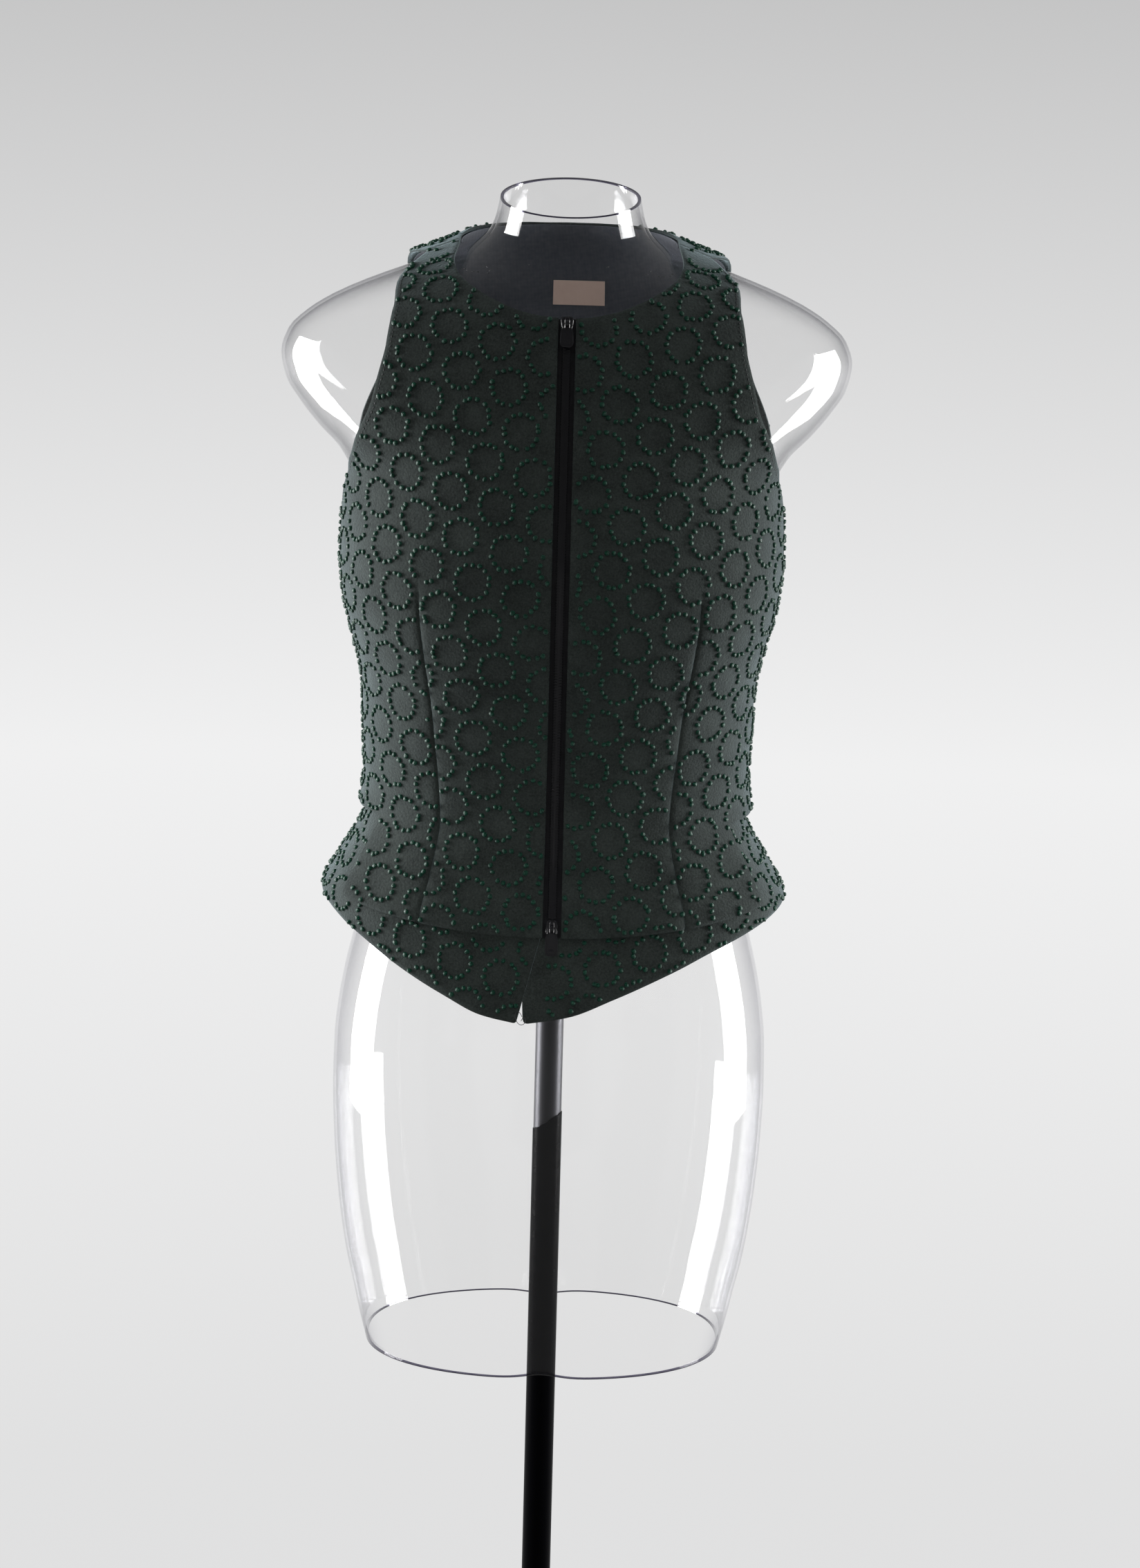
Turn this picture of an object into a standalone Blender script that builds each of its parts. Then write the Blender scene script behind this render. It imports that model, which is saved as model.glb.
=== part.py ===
"""Sleeveless zip-front waistcoat of felted wool, worn by a clear limbless dress form on a pole stand.

Metres, +Z up, the front faces -Y. The dress form is a stack of horizontal rings. Every cloth piece is
worked out from the same rings, moved outwards. A place on the cloth is given by its level (a height)
and its angle round the body: 0 is the centre front, 90 the side, 180 the centre back, and the
wearer's right has minus angles.
"""
import math

import bmesh
import bpy
import numpy as np
from mathutils import Matrix, Vector

MM = 0.001

# Driving sizes
CLOTH = 2.5 * MM
SEAM = 0.15 * MM
SHELL_WALL = 2.2 * MM
REST_GAP = 0.3 * MM

# Half the gap of a seam is cut from each side; these are the distances of the seams from the middle
SIDE_SEAM_RADIUS = 0.10
BACK_SEAM_RADIUS = 0.08

# Levels of the waistcoat
WAIST = 1.068
UNDERARM = 1.250
FRONT_NECK = 1.4235
SIDE_NECK = 1.4625
SHOULDER_TIP = 1.4540
DART_TOP = 1.2455

# Angles of the waistcoat, in degrees round the body
SHOULDER_ANGLE = 86.0
SHOULDER_SEAM = 0.3
NECK_SCOOP = 2.2

# Grids of the cloth: shares of the way from the centre to the side, and up the skirts
DART_SHARE = 0.467
SLASH_SHARE = 0.733
FRONT_SHARES = (0, 0.1, 0.2, 0.3, 0.39, DART_SHARE - 0.014, DART_SHARE, DART_SHARE + 0.014, 0.55,
                0.64, SLASH_SHARE, 0.80, 0.87, 0.94, 1.0)
BACK_SHARES = (0, 0.12, 0.24, 0.36, 0.47, 0.57, 0.66, 0.75, 0.84, 0.92, 1.0)
BACK_NECK_SHARE = 0.66
UNDER_SHARES = (0, 0.08, 0.17, 0.27, 0.37, 0.47, 0.57, 0.67, 0.76, 0.85, 0.93, 1.0)
SKIRT_RISE = (0, 0.25, 0.5, 0.75, 0.97)
UNDER_RISE = (0, 0.12, 0.26, 0.4, 0.54, 0.68, 0.82, 1.0)
BODICE_ROWS = 9
YOKE_ROWS = 15
NECK_BEND_FADE = 2.2
DART_GROOVE = 0.9 * MM

# Dress form rings, in millimetres: level, half width, front depth, back depth, squareness,
# slope of the ring towards the front, depth of the cleft between the thighs
FORM_COLUMNS = ("level", "half", "front", "back", "square", "slope", "cleft")
FORM_RINGS = (
    (667, 129.5, 100, 101, 2.3, 0.00, 9.0),
    (689, 135.0, 102, 104, 2.3, 0.00, 7.0),
    (710, 139.5, 104, 107, 2.3, 0.00, 5.0),
    (732, 144.5, 106, 110, 2.3, 0.00, 3.0),
    (756, 148.5, 107, 112, 2.3, 0.00, 1.2),
    (785, 152.0, 108, 113, 2.3, 0.00, 0.0),
    (820, 154.8, 109, 114, 2.3, 0.00, 0.0),
    (860, 156.2, 109, 114, 2.3, 0.00, 0.0),
    (895, 155.5, 108, 112, 2.3, 0.00, 0.0),
    (920, 153.0, 107, 110, 2.3, 0.00, 0.0),
    (944, 149.0, 105, 107, 2.3, 0.00, 0.0),
    (968, 143.5, 102, 102, 2.3, 0.00, 0.0),
    (990, 138.0, 98, 96, 2.3, 0.00, 0.0),
    (1010, 133.5, 95, 91, 2.3, 0.00, 0.0),
    (1030, 130.5, 92, 87, 2.35, 0.00, 0.0),
    (1050, 128.8, 91, 85, 2.4, 0.00, 0.0),
    (1072, 128.5, 91, 84, 2.4, 0.00, 0.0),
    (1100, 129.5, 94, 86, 2.45, 0.00, 0.0),
    (1130, 131.5, 99, 89, 2.5, 0.00, 0.0),
    (1160, 134.5, 105, 93, 2.55, 0.00, 0.0),
    (1190, 141.0, 111, 98, 2.6, 0.00, 0.0),
    (1220, 148.5, 115, 102, 2.6, 0.00, 0.0),
    (1250, 151.5, 116, 105, 2.55, 0.00, 0.0),
    (1282, 150.5, 112, 107, 2.4, 0.00, 0.0),
    (1306, 150.5, 108, 107, 2.3, 0.00, 0.0),
    (1322, 158.5, 106, 106, 2.2, 0.00, 0.0),
    (1338, 174.0, 103, 105, 2.1, 0.00, 0.0),
    (1354, 187.0, 100, 103, 2.05, 0.00, 0.0),
    (1370, 197.0, 97, 100, 2.0, 0.00, 0.0),
    (1388, 200.6, 93, 96, 2.0, 0.00, 0.0),
    (1404, 195.5, 89, 92, 2.0, 0.00, 0.0),
    (1417, 182.5, 84, 88, 2.0, 0.00, 0.0),
    (1428, 165.0, 79, 83, 2.0, 0.02, 0.0),
    (1438, 143.0, 74, 78, 2.0, 0.04, 0.0),
    (1447, 118.0, 69, 73, 2.0, 0.07, 0.0),
    (1455, 93.0, 64, 67, 2.0, 0.10, 0.0),
    (1464, 70.0, 58, 60, 2.0, 0.14, 0.0),
    (1473, 58.0, 54, 55, 2.0, 0.17, 0.0),
    (1484, 52.5, 51, 52, 2.0, 0.18, 0.0),
    (1500, 49.0, 50, 50, 2.0, 0.18, 0.0),
)
FORM_SIDES = 32
CLEFT_SPREAD = 0.17

# How far the cloth stands off the form, in millimetres: its ease all round, and what the flare of
# the skirts adds at the sides, the front and the back
FLARE_COLUMNS = ("level", "ease", "side", "front", "back")
FLARE_RINGS = (
    (900, 3.0, 6.0, 3.0, 5.0),
    (940, 3.0, 13.0, 3.0, 6.0),
    (968, 3.0, 20.5, 3.2, 8.0),
    (990, 3.0, 27.0, 4.0, 10.0),
    (1006, 3.0, 30.5, 5.0, 11.0),
    (1012, 3.0, 29.6, 5.0, 10.5),
    (1024, 3.0, 24.4, 4.4, 8.5),
    (1041, 3.0, 16.0, 3.6, 6.0),
    (1057, 3.0, 7.8, 3.2, 4.0),
    (1068, 3.0, 3.8, 3.0, 3.0),
    (1098, 3.0, 2.7, 2.0, 1.8),
    (1130, 3.0, 1.8, 1.0, 0.8),
    (1160, 3.0, 0.0, 0.0, 0.0),
    (1400, 3.2, 0.0, 0.0, 0.0),
    (1430, 4.3, 0.0, 0.0, 0.0),
    (1455, 6.4, 0.0, 0.0, 0.0),
    (1475, 7.6, 0.0, 0.0, 0.0),
)

# Armholes: share of the way from the underarm to the shoulder, level, and angle of the front edge
# and of the back edge
ARMHOLE_COLUMNS = ("way", "level", "front", "back")
ARMHOLE_POINTS = (
    (0.00, 1250, 90.0, 90.0),
    (0.06, 1266, 88.5, 91.5),
    (0.14, 1284, 84.5, 95.5),
    (0.26, 1308, 77.5, 102.5),
    (0.42, 1337, 66.5, 113.5),
    (0.54, 1366, 61.0, 119.5),
    (0.66, 1396, 60.0, 121.0),
    (0.78, 1425, 63.8, 119.0),
    (0.88, 1443.5, 73.5, 108.5),
    (0.94, 1450, 79.5, 97.5),
    (1.00, 1454, 86.0, 86.0),
)

# Hem of the under skirt: angle from the centre front and level
SKIRT_HEM_COLUMNS = ("angle", "level")
SKIRT_HEM_POINTS = (
    (0, 932.0),
    (15, 937.5),
    (29, 950.0),
    (39, 960.5),
    (48, 971.0),
    (57, 982.0),
    (69, 993.5),
    (77, 999.5),
    (90, 1005.5),
)

# Front skirt hem, back hem
FRONT_HEM_CENTRE = 0.993
FRONT_HEM_RISE = 17 * MM
BACK_HEM_SIDE = 1.0055
BACK_HEM_DROP = 16 * MM
BACK_BODICE_START = 0.03

# Angles between which the back goes in under the waist seam, beside the under skirt
TUCK_FULL_ANGLE = 96.0
TUCK_END_ANGLE = 118.0

# Under skirt: how deep it lies under the front, and its slanting opening
SKIRT_DEPTH = 4.2 * MM
UNDER_WAIST_GAP = 0.9 * MM
SLIT_TOP_X = -3.0 * MM
SLIT_HEM_X = -24.0 * MM
SLIT_START = 1.010
SLIT_PART_LEVEL = 0.948
SLIT_GAP = 0.5 * MM
SLIT_GAPE = 5.0 * MM

# Zip
FRONT_EDGE_X = 6.5 * MM
TAPE_INNER_X = 0.4 * MM
TAPE_OUTER_X = 13.0 * MM
TAPE = 0.7 * MM
TAPE_DEPTH = 3.0 * MM
CHAIN_HALF = 3.0 * MM
CHAIN_DEPTH = 0.3 * MM
CHAIN = 2.2 * MM
SLIDER_LENGTH = 11.0 * MM
SLIDER_HALF = 4.6 * MM
SLIDER_TOP = 1.6 * MM
SLIDER_UNDER = 2.3 * MM
TOP_SLIDER_LEVEL = 1.4190
BOTTOM_SLIDER_LEVEL = 1.0010
BOW_OUTER = 2.2 * MM
BOW_INNER = 1.2 * MM
BOW_HALF = 1.2 * MM
BOW_AXIS = 3.1 * MM
PULL_BAR = 0.7 * MM
PULL_EYE_HALF = 2.0 * MM
PULL_EYE_LENGTH = 3.2 * MM
PULL_HALF = 4.6 * MM
TOP_PULL_LENGTH = 17.0 * MM
BOTTOM_PULL_LENGTH = 20.0 * MM

# Neck facing and blank label
FACING = 0.5 * MM
FACING_DEPTH = 3.3 * MM
FACING_ROWS = 6
FACING_COLUMNS = 7
LABEL = 0.5 * MM
LABEL_DEPTH = 4.65 * MM
LABEL_WIDTH = 40 * MM
LABEL_HEIGHT = 16 * MM
LABEL_CENTRE_X = 8 * MM
LABEL_LEVEL = 1.4215

# Stand
POLE_RADIUS = 10 * MM
FLANGE_RADIUS = 32 * MM
FLANGE = 4 * MM
PLATE_BOTTOM = 1.018
PLATE = 4 * MM
PLATE_GAP = 0.6 * MM
BASE_RADIUS = 170 * MM
BASE = 8 * MM
COLLAR_RADIUS = 22 * MM
COLLAR_HEIGHT = 26 * MM


def clear_scene():
    """Remove the objects that the scene holds."""
    for thing in list(bpy.data.objects):
        bpy.data.objects.remove(thing, do_unlink=True)


def material(name, colour, roughness, metallic=0.0, alpha=1.0):
    """A plain finish."""
    made = bpy.data.materials.new(name)
    made.use_nodes = True
    shader = made.node_tree.nodes["Principled BSDF"]
    shader.inputs["Base Color"].default_value = (*colour, 1.0)
    shader.inputs["Roughness"].default_value = roughness
    shader.inputs["Metallic"].default_value = metallic
    shader.inputs["Alpha"].default_value = alpha
    return made


def column(rows, columns, name):
    """One named column of a table, as an array."""
    return np.array([row[columns.index(name)] for row in rows], float)


def smooth_column(rows, columns, name, key, at):
    """A column read at any key value, on a cubic that keeps the table's ups and downs."""
    x = column(rows, columns, key)
    y = column(rows, columns, name)
    step = np.diff(x)
    slope = np.diff(y) / step
    inner = np.where(slope[:-1] * slope[1:] > 0, 2 * slope[:-1] * slope[1:], 0.0)
    inner = inner / np.where(inner == 0, 1.0, slope[:-1] + slope[1:])
    tangent = np.concatenate([slope[:1], inner, slope[-1:]])
    at = np.clip(np.asarray(at, float), x[0], x[-1])
    i = np.clip(np.searchsorted(x, at) - 1, 0, len(step) - 1)
    t = (at - x[i]) / step[i]
    start = (1 + 2 * t) * (1 - t) ** 2 * y[i] + t * (1 - t) ** 2 * step[i] * tangent[i]
    return start + t * t * (3 - 2 * t) * y[i + 1] + t * t * (t - 1) * step[i] * tangent[i + 1]


def form_ring(name, level):
    """A column of the form's rings at a level in metres."""
    return smooth_column(FORM_RINGS, FORM_COLUMNS, name, "level", level / MM)


def stand_off(name, level):
    """A column of the cloth's distances from the form, in metres."""
    return smooth_column(FLARE_RINGS, FLARE_COLUMNS, name, "level", level / MM) * MM


def form_point(level, angle):
    """The form's outside: a superellipse ring at each level, with a cleft low down at front and back."""
    turn = np.radians(angle)
    side, ahead = np.sin(turn), np.cos(turn)
    depth = np.where(ahead > 0, form_ring("front", level), form_ring("back", level))
    square = form_ring("square", level)
    across = np.abs(side) / form_ring("half", level)
    along = np.abs(ahead) / depth
    radius = (across ** square + along ** square) ** (-1 / square)
    radius = radius - form_ring("cleft", level) * np.exp(-((side / CLEFT_SPREAD) ** 2))
    x, y = radius * side * MM, -radius * ahead * MM
    return np.stack([x, y, level + form_ring("slope", level) * y], axis=-1)


def normal_of(surface, level, angle):
    """The outward normal of a surface of level and angle, from its slopes."""
    rise, turn = 0.4 * MM, 0.2
    low = np.maximum(level - rise, FORM_RINGS[0][0] * MM)
    high = np.minimum(level + rise, FORM_RINGS[-1][0] * MM)
    up = surface(high, angle) - surface(low, angle)
    around = surface(level, angle + turn) - surface(level, angle - turn)
    normal = np.cross(around, up)
    return normal / np.linalg.norm(normal, axis=-1, keepdims=True)


def form_offset(level, angle, out):
    """The form's outside moved outwards."""
    out = np.broadcast_to(np.asarray(out, float), np.shape(angle))[..., None]
    return form_point(level, angle) + normal_of(form_point, level, angle) * out


def coat_point(level, angle):
    """The outside of the cloth: the form plus ease, wall and the flare of the skirts."""
    turn = np.radians(angle)
    side, ahead = np.sin(turn), np.cos(turn)
    along = np.where(ahead > 0, stand_off("front", level), stand_off("back", level))
    out = stand_off("side", level) * side ** 2 + along * ahead ** 2
    outward = np.stack([side, -ahead, np.zeros_like(side)], axis=-1)
    return form_offset(level, angle, stand_off("ease", level) + CLOTH) + outward * out[..., None]


def coat_inside(level, angle, depth):
    """The cloth's outside moved inwards by a depth."""
    depth = np.broadcast_to(np.asarray(depth, float), np.shape(angle))[..., None]
    return coat_point(level, angle) - normal_of(coat_point, level, angle) * depth


def seam_angle(radius):
    """The angle taken up by half a seam's gap at a distance from the middle."""
    return math.degrees(SEAM / radius)


def angle_at(x, level):
    """The angle of a place near the centre front that is x from the middle."""
    depth = form_ring("front", level) * MM + stand_off("ease", level) + CLOTH
    return np.degrees(np.arctan2(x, depth))


def link(name, mesh, finish):
    """Add a mesh as a named object with its finish."""
    made = bpy.data.objects.new(name, mesh)
    mesh.materials.append(finish)
    bpy.context.collection.objects.link(made)
    return made


def finish_mesh(bm, name, finish, sharp=35):
    """Close a bmesh as a smooth object with its faces pointing out."""
    bmesh.ops.recalc_face_normals(bm, faces=bm.faces)
    mesh = bpy.data.meshes.new(name)
    bm.to_mesh(mesh)
    bm.free()
    mesh.shade_smooth()
    mesh.set_sharp_from_angle(angle=math.radians(sharp))
    return link(name, mesh, finish)


def walled_sheet(name, outside, inside, finish, keep=None, closed=False):
    """Two grids of points as the two sides of one wall, with rims where the cells end.

    Both sides of a cell are split along its shorter diagonal, so the wall stays as thick in a twist.
    """
    rows, columns = outside.shape[:2]
    bm = bmesh.new()
    verts = {}

    def vert(side, i, j):
        key = (side, i, j % columns)
        if key not in verts:
            points = outside if side == 0 else inside
            verts[key] = bm.verts.new(points[i, j % columns])
        return verts[key]

    uses = {}
    for i in range(rows - 1):
        for j in range(columns if closed else columns - 1):
            if keep is not None and not keep[i, j]:
                continue
            corners = ((i, j), (i, j + 1), (i + 1, j + 1), (i + 1, j))
            a, b, c, d = (outside[row, col % columns] for row, col in corners)
            if np.linalg.norm(a - c) > np.linalg.norm(b - d):
                corners = corners[1:] + corners[:1]
            for three in (corners[:3], corners[2:] + corners[:1]):
                bm.faces.new([vert(0, *corner) for corner in three])
                bm.faces.new([vert(1, *corner) for corner in reversed(three)])
            for start, end in zip(corners, corners[1:] + corners[:1]):
                start = (start[0], start[1] % columns)
                end = (end[0], end[1] % columns)
                if uses.pop((end, start), None) is None:
                    uses[(start, end)] = True
    for start, end in uses:
        bm.faces.new([vert(0, *end), vert(0, *start), vert(1, *start), vert(1, *end)])
    return finish_mesh(bm, name, finish)


def cloth_piece(name, level, angle, depth, wall, finish, keep=None, dent=None):
    """A piece of cloth on a grid of levels and angles, at a depth below the coat's outside."""
    raised = depth if dent is None else depth + dent
    outside = coat_inside(level, angle, raised)
    inside = coat_inside(level, angle, np.asarray(depth) + wall)
    return walled_sheet(name, outside, inside, finish, keep)


def spread(start, end, share):
    """Rows of values that go from start to end by the shares, for arrays start and end."""
    return start[:, None] + (end - start)[:, None] * share[None, :]


def front_edge_angle(level):
    """The angle of a front's edge beside the zip."""
    return angle_at(FRONT_EDGE_X, level)


def back_edge_angle(level):
    """The angle of the centre back."""
    return np.full(np.shape(level), 180.0)


def yoke_grid(centre_angle, centre_top, armhole, neck_share, shares):
    """Levels and angles above the underarm: four edges, blended between.

    The edges are the underarm row, the centre edge, the armhole, and the neckline that goes on as
    the shoulder seam. The top edge's bend fades out downwards.
    """
    steps = np.linspace(0, 1, YOKE_ROWS)
    edge_level = smooth_column(ARMHOLE_POINTS, ARMHOLE_COLUMNS, "level", "way", steps) * MM
    edge_angle = smooth_column(ARMHOLE_POINTS, ARMHOLE_COLUMNS, armhole, "way", steps)
    centre_level = UNDERARM + (centre_top - UNDERARM) * steps
    centre = centre_angle(centre_level)
    level = spread(centre_level, edge_level, shares)
    angle = spread(centre, edge_angle, shares)
    along_neck = np.clip(shares / neck_share, 0, 1)
    along_shoulder = np.clip((shares - neck_share) / (1 - neck_share), 0, 1)
    seam = SHOULDER_SEAM if armhole == "back" else -SHOULDER_SEAM
    top_angle = centre[-1] + (SHOULDER_ANGLE + seam - centre[-1]) * along_neck
    climb = np.abs(np.sin(np.radians(top_angle))) ** NECK_SCOOP
    top_level = centre_top + (SIDE_NECK - centre_top) * climb
    top_level = top_level + (SHOULDER_TIP - SIDE_NECK) * along_shoulder
    fade = steps[:, None] ** NECK_BEND_FADE
    level = level + fade * (top_level - level[-1])[None, :]
    angle = angle + fade * (top_angle - angle[-1])[None, :]
    return level, angle


def front_grid():
    """Levels and angles of one front, from the zip to the side seam, hem to shoulder."""
    shares = np.array(FRONT_SHARES)
    hem = FRONT_HEM_CENTRE + FRONT_HEM_RISE * (shares / SLASH_SHARE) ** 2
    skirt_level = hem[None, :] + (WAIST - hem)[None, :] * np.array(SKIRT_RISE)[:, None]
    bodice = WAIST + (UNDERARM - WAIST) * np.linspace(0, 1, BODICE_ROWS + 1)[:-1]
    low_level = np.concatenate([skirt_level, np.repeat(bodice[:, None], len(shares), 1)])
    centre = front_edge_angle(low_level[:, 0])
    low_angle = spread(centre, np.full(len(centre), 90.0), shares)
    high_level, high_angle = yoke_grid(front_edge_angle, FRONT_NECK, "front", SLASH_SHARE, shares)
    level = np.concatenate([low_level, high_level])
    angle = np.concatenate([low_angle, high_angle])
    angle[:, -1] -= seam_angle(SIDE_SEAM_RADIUS)
    return level, angle


def front_panel(name, hand, finish):
    """One front: short skirt, bodice with a long dart, and the yoke between neckline and armhole."""
    level, angle = front_grid()
    keep = np.ones((level.shape[0] - 1, level.shape[1] - 1), bool)
    keep[: len(SKIRT_RISE), FRONT_SHARES.index(SLASH_SHARE):] = False
    dent = np.zeros(level.shape)
    dart = FRONT_SHARES.index(DART_SHARE)
    dent[:, dart] = np.where(level[:, dart] < DART_TOP, DART_GROOVE, 0.0)
    return cloth_piece(name, level, hand * angle, 0.0, CLOTH, finish, keep, dent)


def back_grid():
    """Levels and angles of one back, from the centre back to the side seam, hem to shoulder."""
    shares = np.array(BACK_SHARES)
    drop = np.cos(np.radians(90 * shares)) ** 2
    hem = BACK_HEM_SIDE - BACK_HEM_DROP * drop
    skirt_level = hem[None, :] + (WAIST - hem)[None, :] * np.array(SKIRT_RISE)[:, None]
    bodice = WAIST + (UNDERARM - WAIST) * np.linspace(BACK_BODICE_START, 1, BODICE_ROWS)[:-1]
    low_level = np.concatenate([skirt_level, np.repeat(bodice[:, None], len(shares), 1)])
    centre = back_edge_angle(low_level[:, 0])
    low_angle = spread(centre, np.full(len(centre), 90.0), shares)
    high_level, high_angle = yoke_grid(back_edge_angle, SIDE_NECK, "back", BACK_NECK_SHARE, shares)
    level = np.concatenate([low_level, high_level])
    angle = np.concatenate([low_angle, high_angle])
    angle[:, -1] += seam_angle(SIDE_SEAM_RADIUS)
    angle[:, 0] -= seam_angle(BACK_SEAM_RADIUS)
    return level, angle


def back_panel(name, hand, finish):
    """One back: skirt, bodice and yoke in one, tucked in under the waist beside the under skirt."""
    level, angle = back_grid()
    near_side = np.clip((TUCK_END_ANGLE - angle) / (TUCK_END_ANGLE - TUCK_FULL_ANGLE), 0, 1)
    tuck = np.where(level < WAIST, SKIRT_DEPTH * near_side ** 2 * (3 - 2 * near_side), 0.0)
    return cloth_piece(name, level, hand * angle, tuck, CLOTH, finish)


def slit_x(level):
    """Where the under skirt's opening runs: straight down behind the zip, then slanting away."""
    down = np.clip((SLIT_START - level) / (SLIT_START - SKIRT_HEM_POINTS[0][1] * MM), 0, 1)
    return SLIT_TOP_X + (SLIT_HEM_X - SLIT_TOP_X) * down


def under_skirt(name, hand, finish):
    """One half of the longer under skirt, whose hem falls in a V to the centre front."""
    shares = np.array(UNDER_SHARES)
    hem = smooth_column(SKIRT_HEM_POINTS, SKIRT_HEM_COLUMNS, "level", "angle", 90 * shares) * MM
    top = WAIST - UNDER_WAIST_GAP
    level = hem[None, :] + (top - hem)[None, :] * np.array(UNDER_RISE)[:, None]
    edge = slit_x(level[:, 0])
    if hand > 0:
        part = np.clip((SLIT_PART_LEVEL - level[:, 0]) / (SLIT_PART_LEVEL - hem[0]), 0, 1)
        edge = edge + SLIT_GAP + SLIT_GAPE * part
    start = angle_at(hand * edge, level[:, 0])
    angle = spread(start, np.full(len(start), 90.0 - seam_angle(SIDE_SEAM_RADIUS)), shares)
    return cloth_piece(name, level, hand * angle, SKIRT_DEPTH, CLOTH, finish)


def zip_strip(name, xs, low, high, depth, wall, finish):
    """A strip up the centre front on the fronts' rows, through places at distances from the middle."""
    rows = front_grid()[0][:, 0]
    levels = np.concatenate([[low], rows[(rows > low + MM) & (rows < high - MM)], [high]])
    level = np.repeat(levels[:, None], len(xs), 1)
    angle = angle_at(np.array(xs)[None, :], level)
    return cloth_piece(name, level, angle, depth, wall, finish)


def front_frame(level):
    """A frame on the centre front at a level: X across, Y up along the cloth, Z outwards."""
    levels = np.array([level - 2 * MM, level, level + 2 * MM])
    low, here, high = (Vector(point) for point in coat_point(levels, np.zeros(3)))
    up = (high - low).normalized()
    across = Vector((1, 0, 0))
    frame = Matrix((across, up, across.cross(up))).transposed().to_4x4()
    frame.translation = here
    return frame


def extruded(outline, low, high, hole=None):
    """A flat outline, with or without a hole, made a slab between two heights."""
    bm = bmesh.new()
    loops = []
    for points in (outline, hole):
        if points is not None:
            loops.append([[bm.verts.new((x, y, z)) for x, y in points] for z in (low, high)])
    count = len(outline)
    for loop in loops:
        for k in range(count):
            nxt = (k + 1) % count
            bm.faces.new([loop[0][k], loop[0][nxt], loop[1][nxt], loop[1][k]])
    for end in (0, 1):
        if hole is None:
            bm.faces.new(loops[0][end])
        else:
            for k in range(count):
                nxt = (k + 1) % count
                outer, inner = loops[0][end], loops[1][end]
                bm.faces.new([outer[k], outer[nxt], inner[nxt], inner[k]])
    return bm


def rounded(half_x, low_y, high_y, power=4.0, count=20):
    """A rounded rectangle between two heights, as a superellipse."""
    turns = 2 * np.pi * (np.arange(count) + 0.5) / count
    c, s = np.cos(turns), np.sin(turns)
    x = half_x * np.sign(c) * np.abs(c) ** (2 / power)
    y = (low_y + high_y) / 2 + (high_y - low_y) / 2 * np.sign(s) * np.abs(s) ** (2 / power)
    return list(zip(x, y))


def bow_outline(count=10):
    """The slider's bow seen from the side: a half ring with feet that reach into the body."""
    turns = np.linspace(0, np.pi, count)
    foot = BOW_AXIS - SLIDER_TOP + 0.5 * MM
    outer = [(-BOW_OUTER, -foot)] + [(-BOW_OUTER * math.cos(t), BOW_OUTER * math.sin(t)) for t in turns]
    outer.append((BOW_OUTER, -foot))
    inner = [(BOW_INNER, -foot)] + [(BOW_INNER * math.cos(t), BOW_INNER * math.sin(t)) for t in turns]
    inner.append((-BOW_INNER, -foot))
    return outer + inner


def slider(name, level, finish):
    """A zip slider: a rounded body across the chain with a bow for the pull's bar."""
    half = SLIDER_LENGTH / 2
    bm = extruded(rounded(SLIDER_HALF, -half, half), -SLIDER_UNDER, SLIDER_TOP)
    body = finish_mesh(bm, name, finish)
    bow = finish_mesh(extruded(bow_outline(), -BOW_HALF, BOW_HALF), name + "_bow", finish)
    upright = Matrix(((0, 0, 1), (1, 0, 0), (0, 1, 0))).to_4x4()
    bow.data.transform(Matrix.Translation((0, 0, BOW_AXIS)) @ upright)
    join = body.modifiers.new("bow", "BOOLEAN")
    join.operation = "UNION"
    join.solver = "EXACT"
    join.object = bow
    bow.hide_render = True
    bow.display_type = "WIRE"
    body.matrix_world = front_frame(level)
    bow.matrix_world = front_frame(level)
    return body


def pull(name, level, length, finish):
    """A pull tab that hangs on its slider's bow and turns about its bar."""
    outline = rounded(PULL_HALF, -length, PULL_BAR, 3.2, 24)
    eye = rounded(PULL_EYE_HALF, -PULL_EYE_LENGTH, -PULL_BAR, 4.0, 24)
    made = finish_mesh(extruded(outline, -PULL_BAR, PULL_BAR, eye), name, finish)
    made.matrix_world = front_frame(level) @ Matrix.Translation((0, 0, BOW_AXIS))
    return made


def neck_facing(finish):
    """A thin facing inside the back neck, one piece on the upper rows of both backs."""
    level, angle = (grid[-FACING_ROWS:, :FACING_COLUMNS] for grid in back_grid())
    level = np.concatenate([level[:, :0:-1], level], axis=1)
    angle = np.concatenate([angle[:, :0:-1], 360 - angle], axis=1)
    return cloth_piece("neck_facing", level, angle, FACING_DEPTH, FACING, finish)


def neck_label(finish):
    """A small blank label sewn on the facing."""
    share = np.linspace(-0.5, 0.5, 5)
    level = LABEL_LEVEL + LABEL_HEIGHT * np.linspace(-0.5, 0.5, 3)
    level = np.repeat(level[:, None], len(share), 1)
    depth = form_ring("back", level) * MM + stand_off("ease", level) + CLOTH
    x = LABEL_CENTRE_X + LABEL_WIDTH * share[None, :]
    angle = 180 - np.degrees(np.arctan2(x, depth))
    return cloth_piece("neck_label", level, angle, LABEL_DEPTH, LABEL, finish)


def form_shell(finish):
    """The clear torso: one wall, open at the neck and at the hem."""
    levels = column(FORM_RINGS, FORM_COLUMNS, "level") * MM
    turns = 360 * np.arange(FORM_SIDES) / FORM_SIDES
    level, angle = np.meshgrid(levels, turns, indexing="ij")
    outside = form_offset(level, angle, 0.0)
    inside = form_offset(level, angle, -SHELL_WALL)
    return walled_sheet("form_shell", outside, inside, finish, closed=True)


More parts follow.
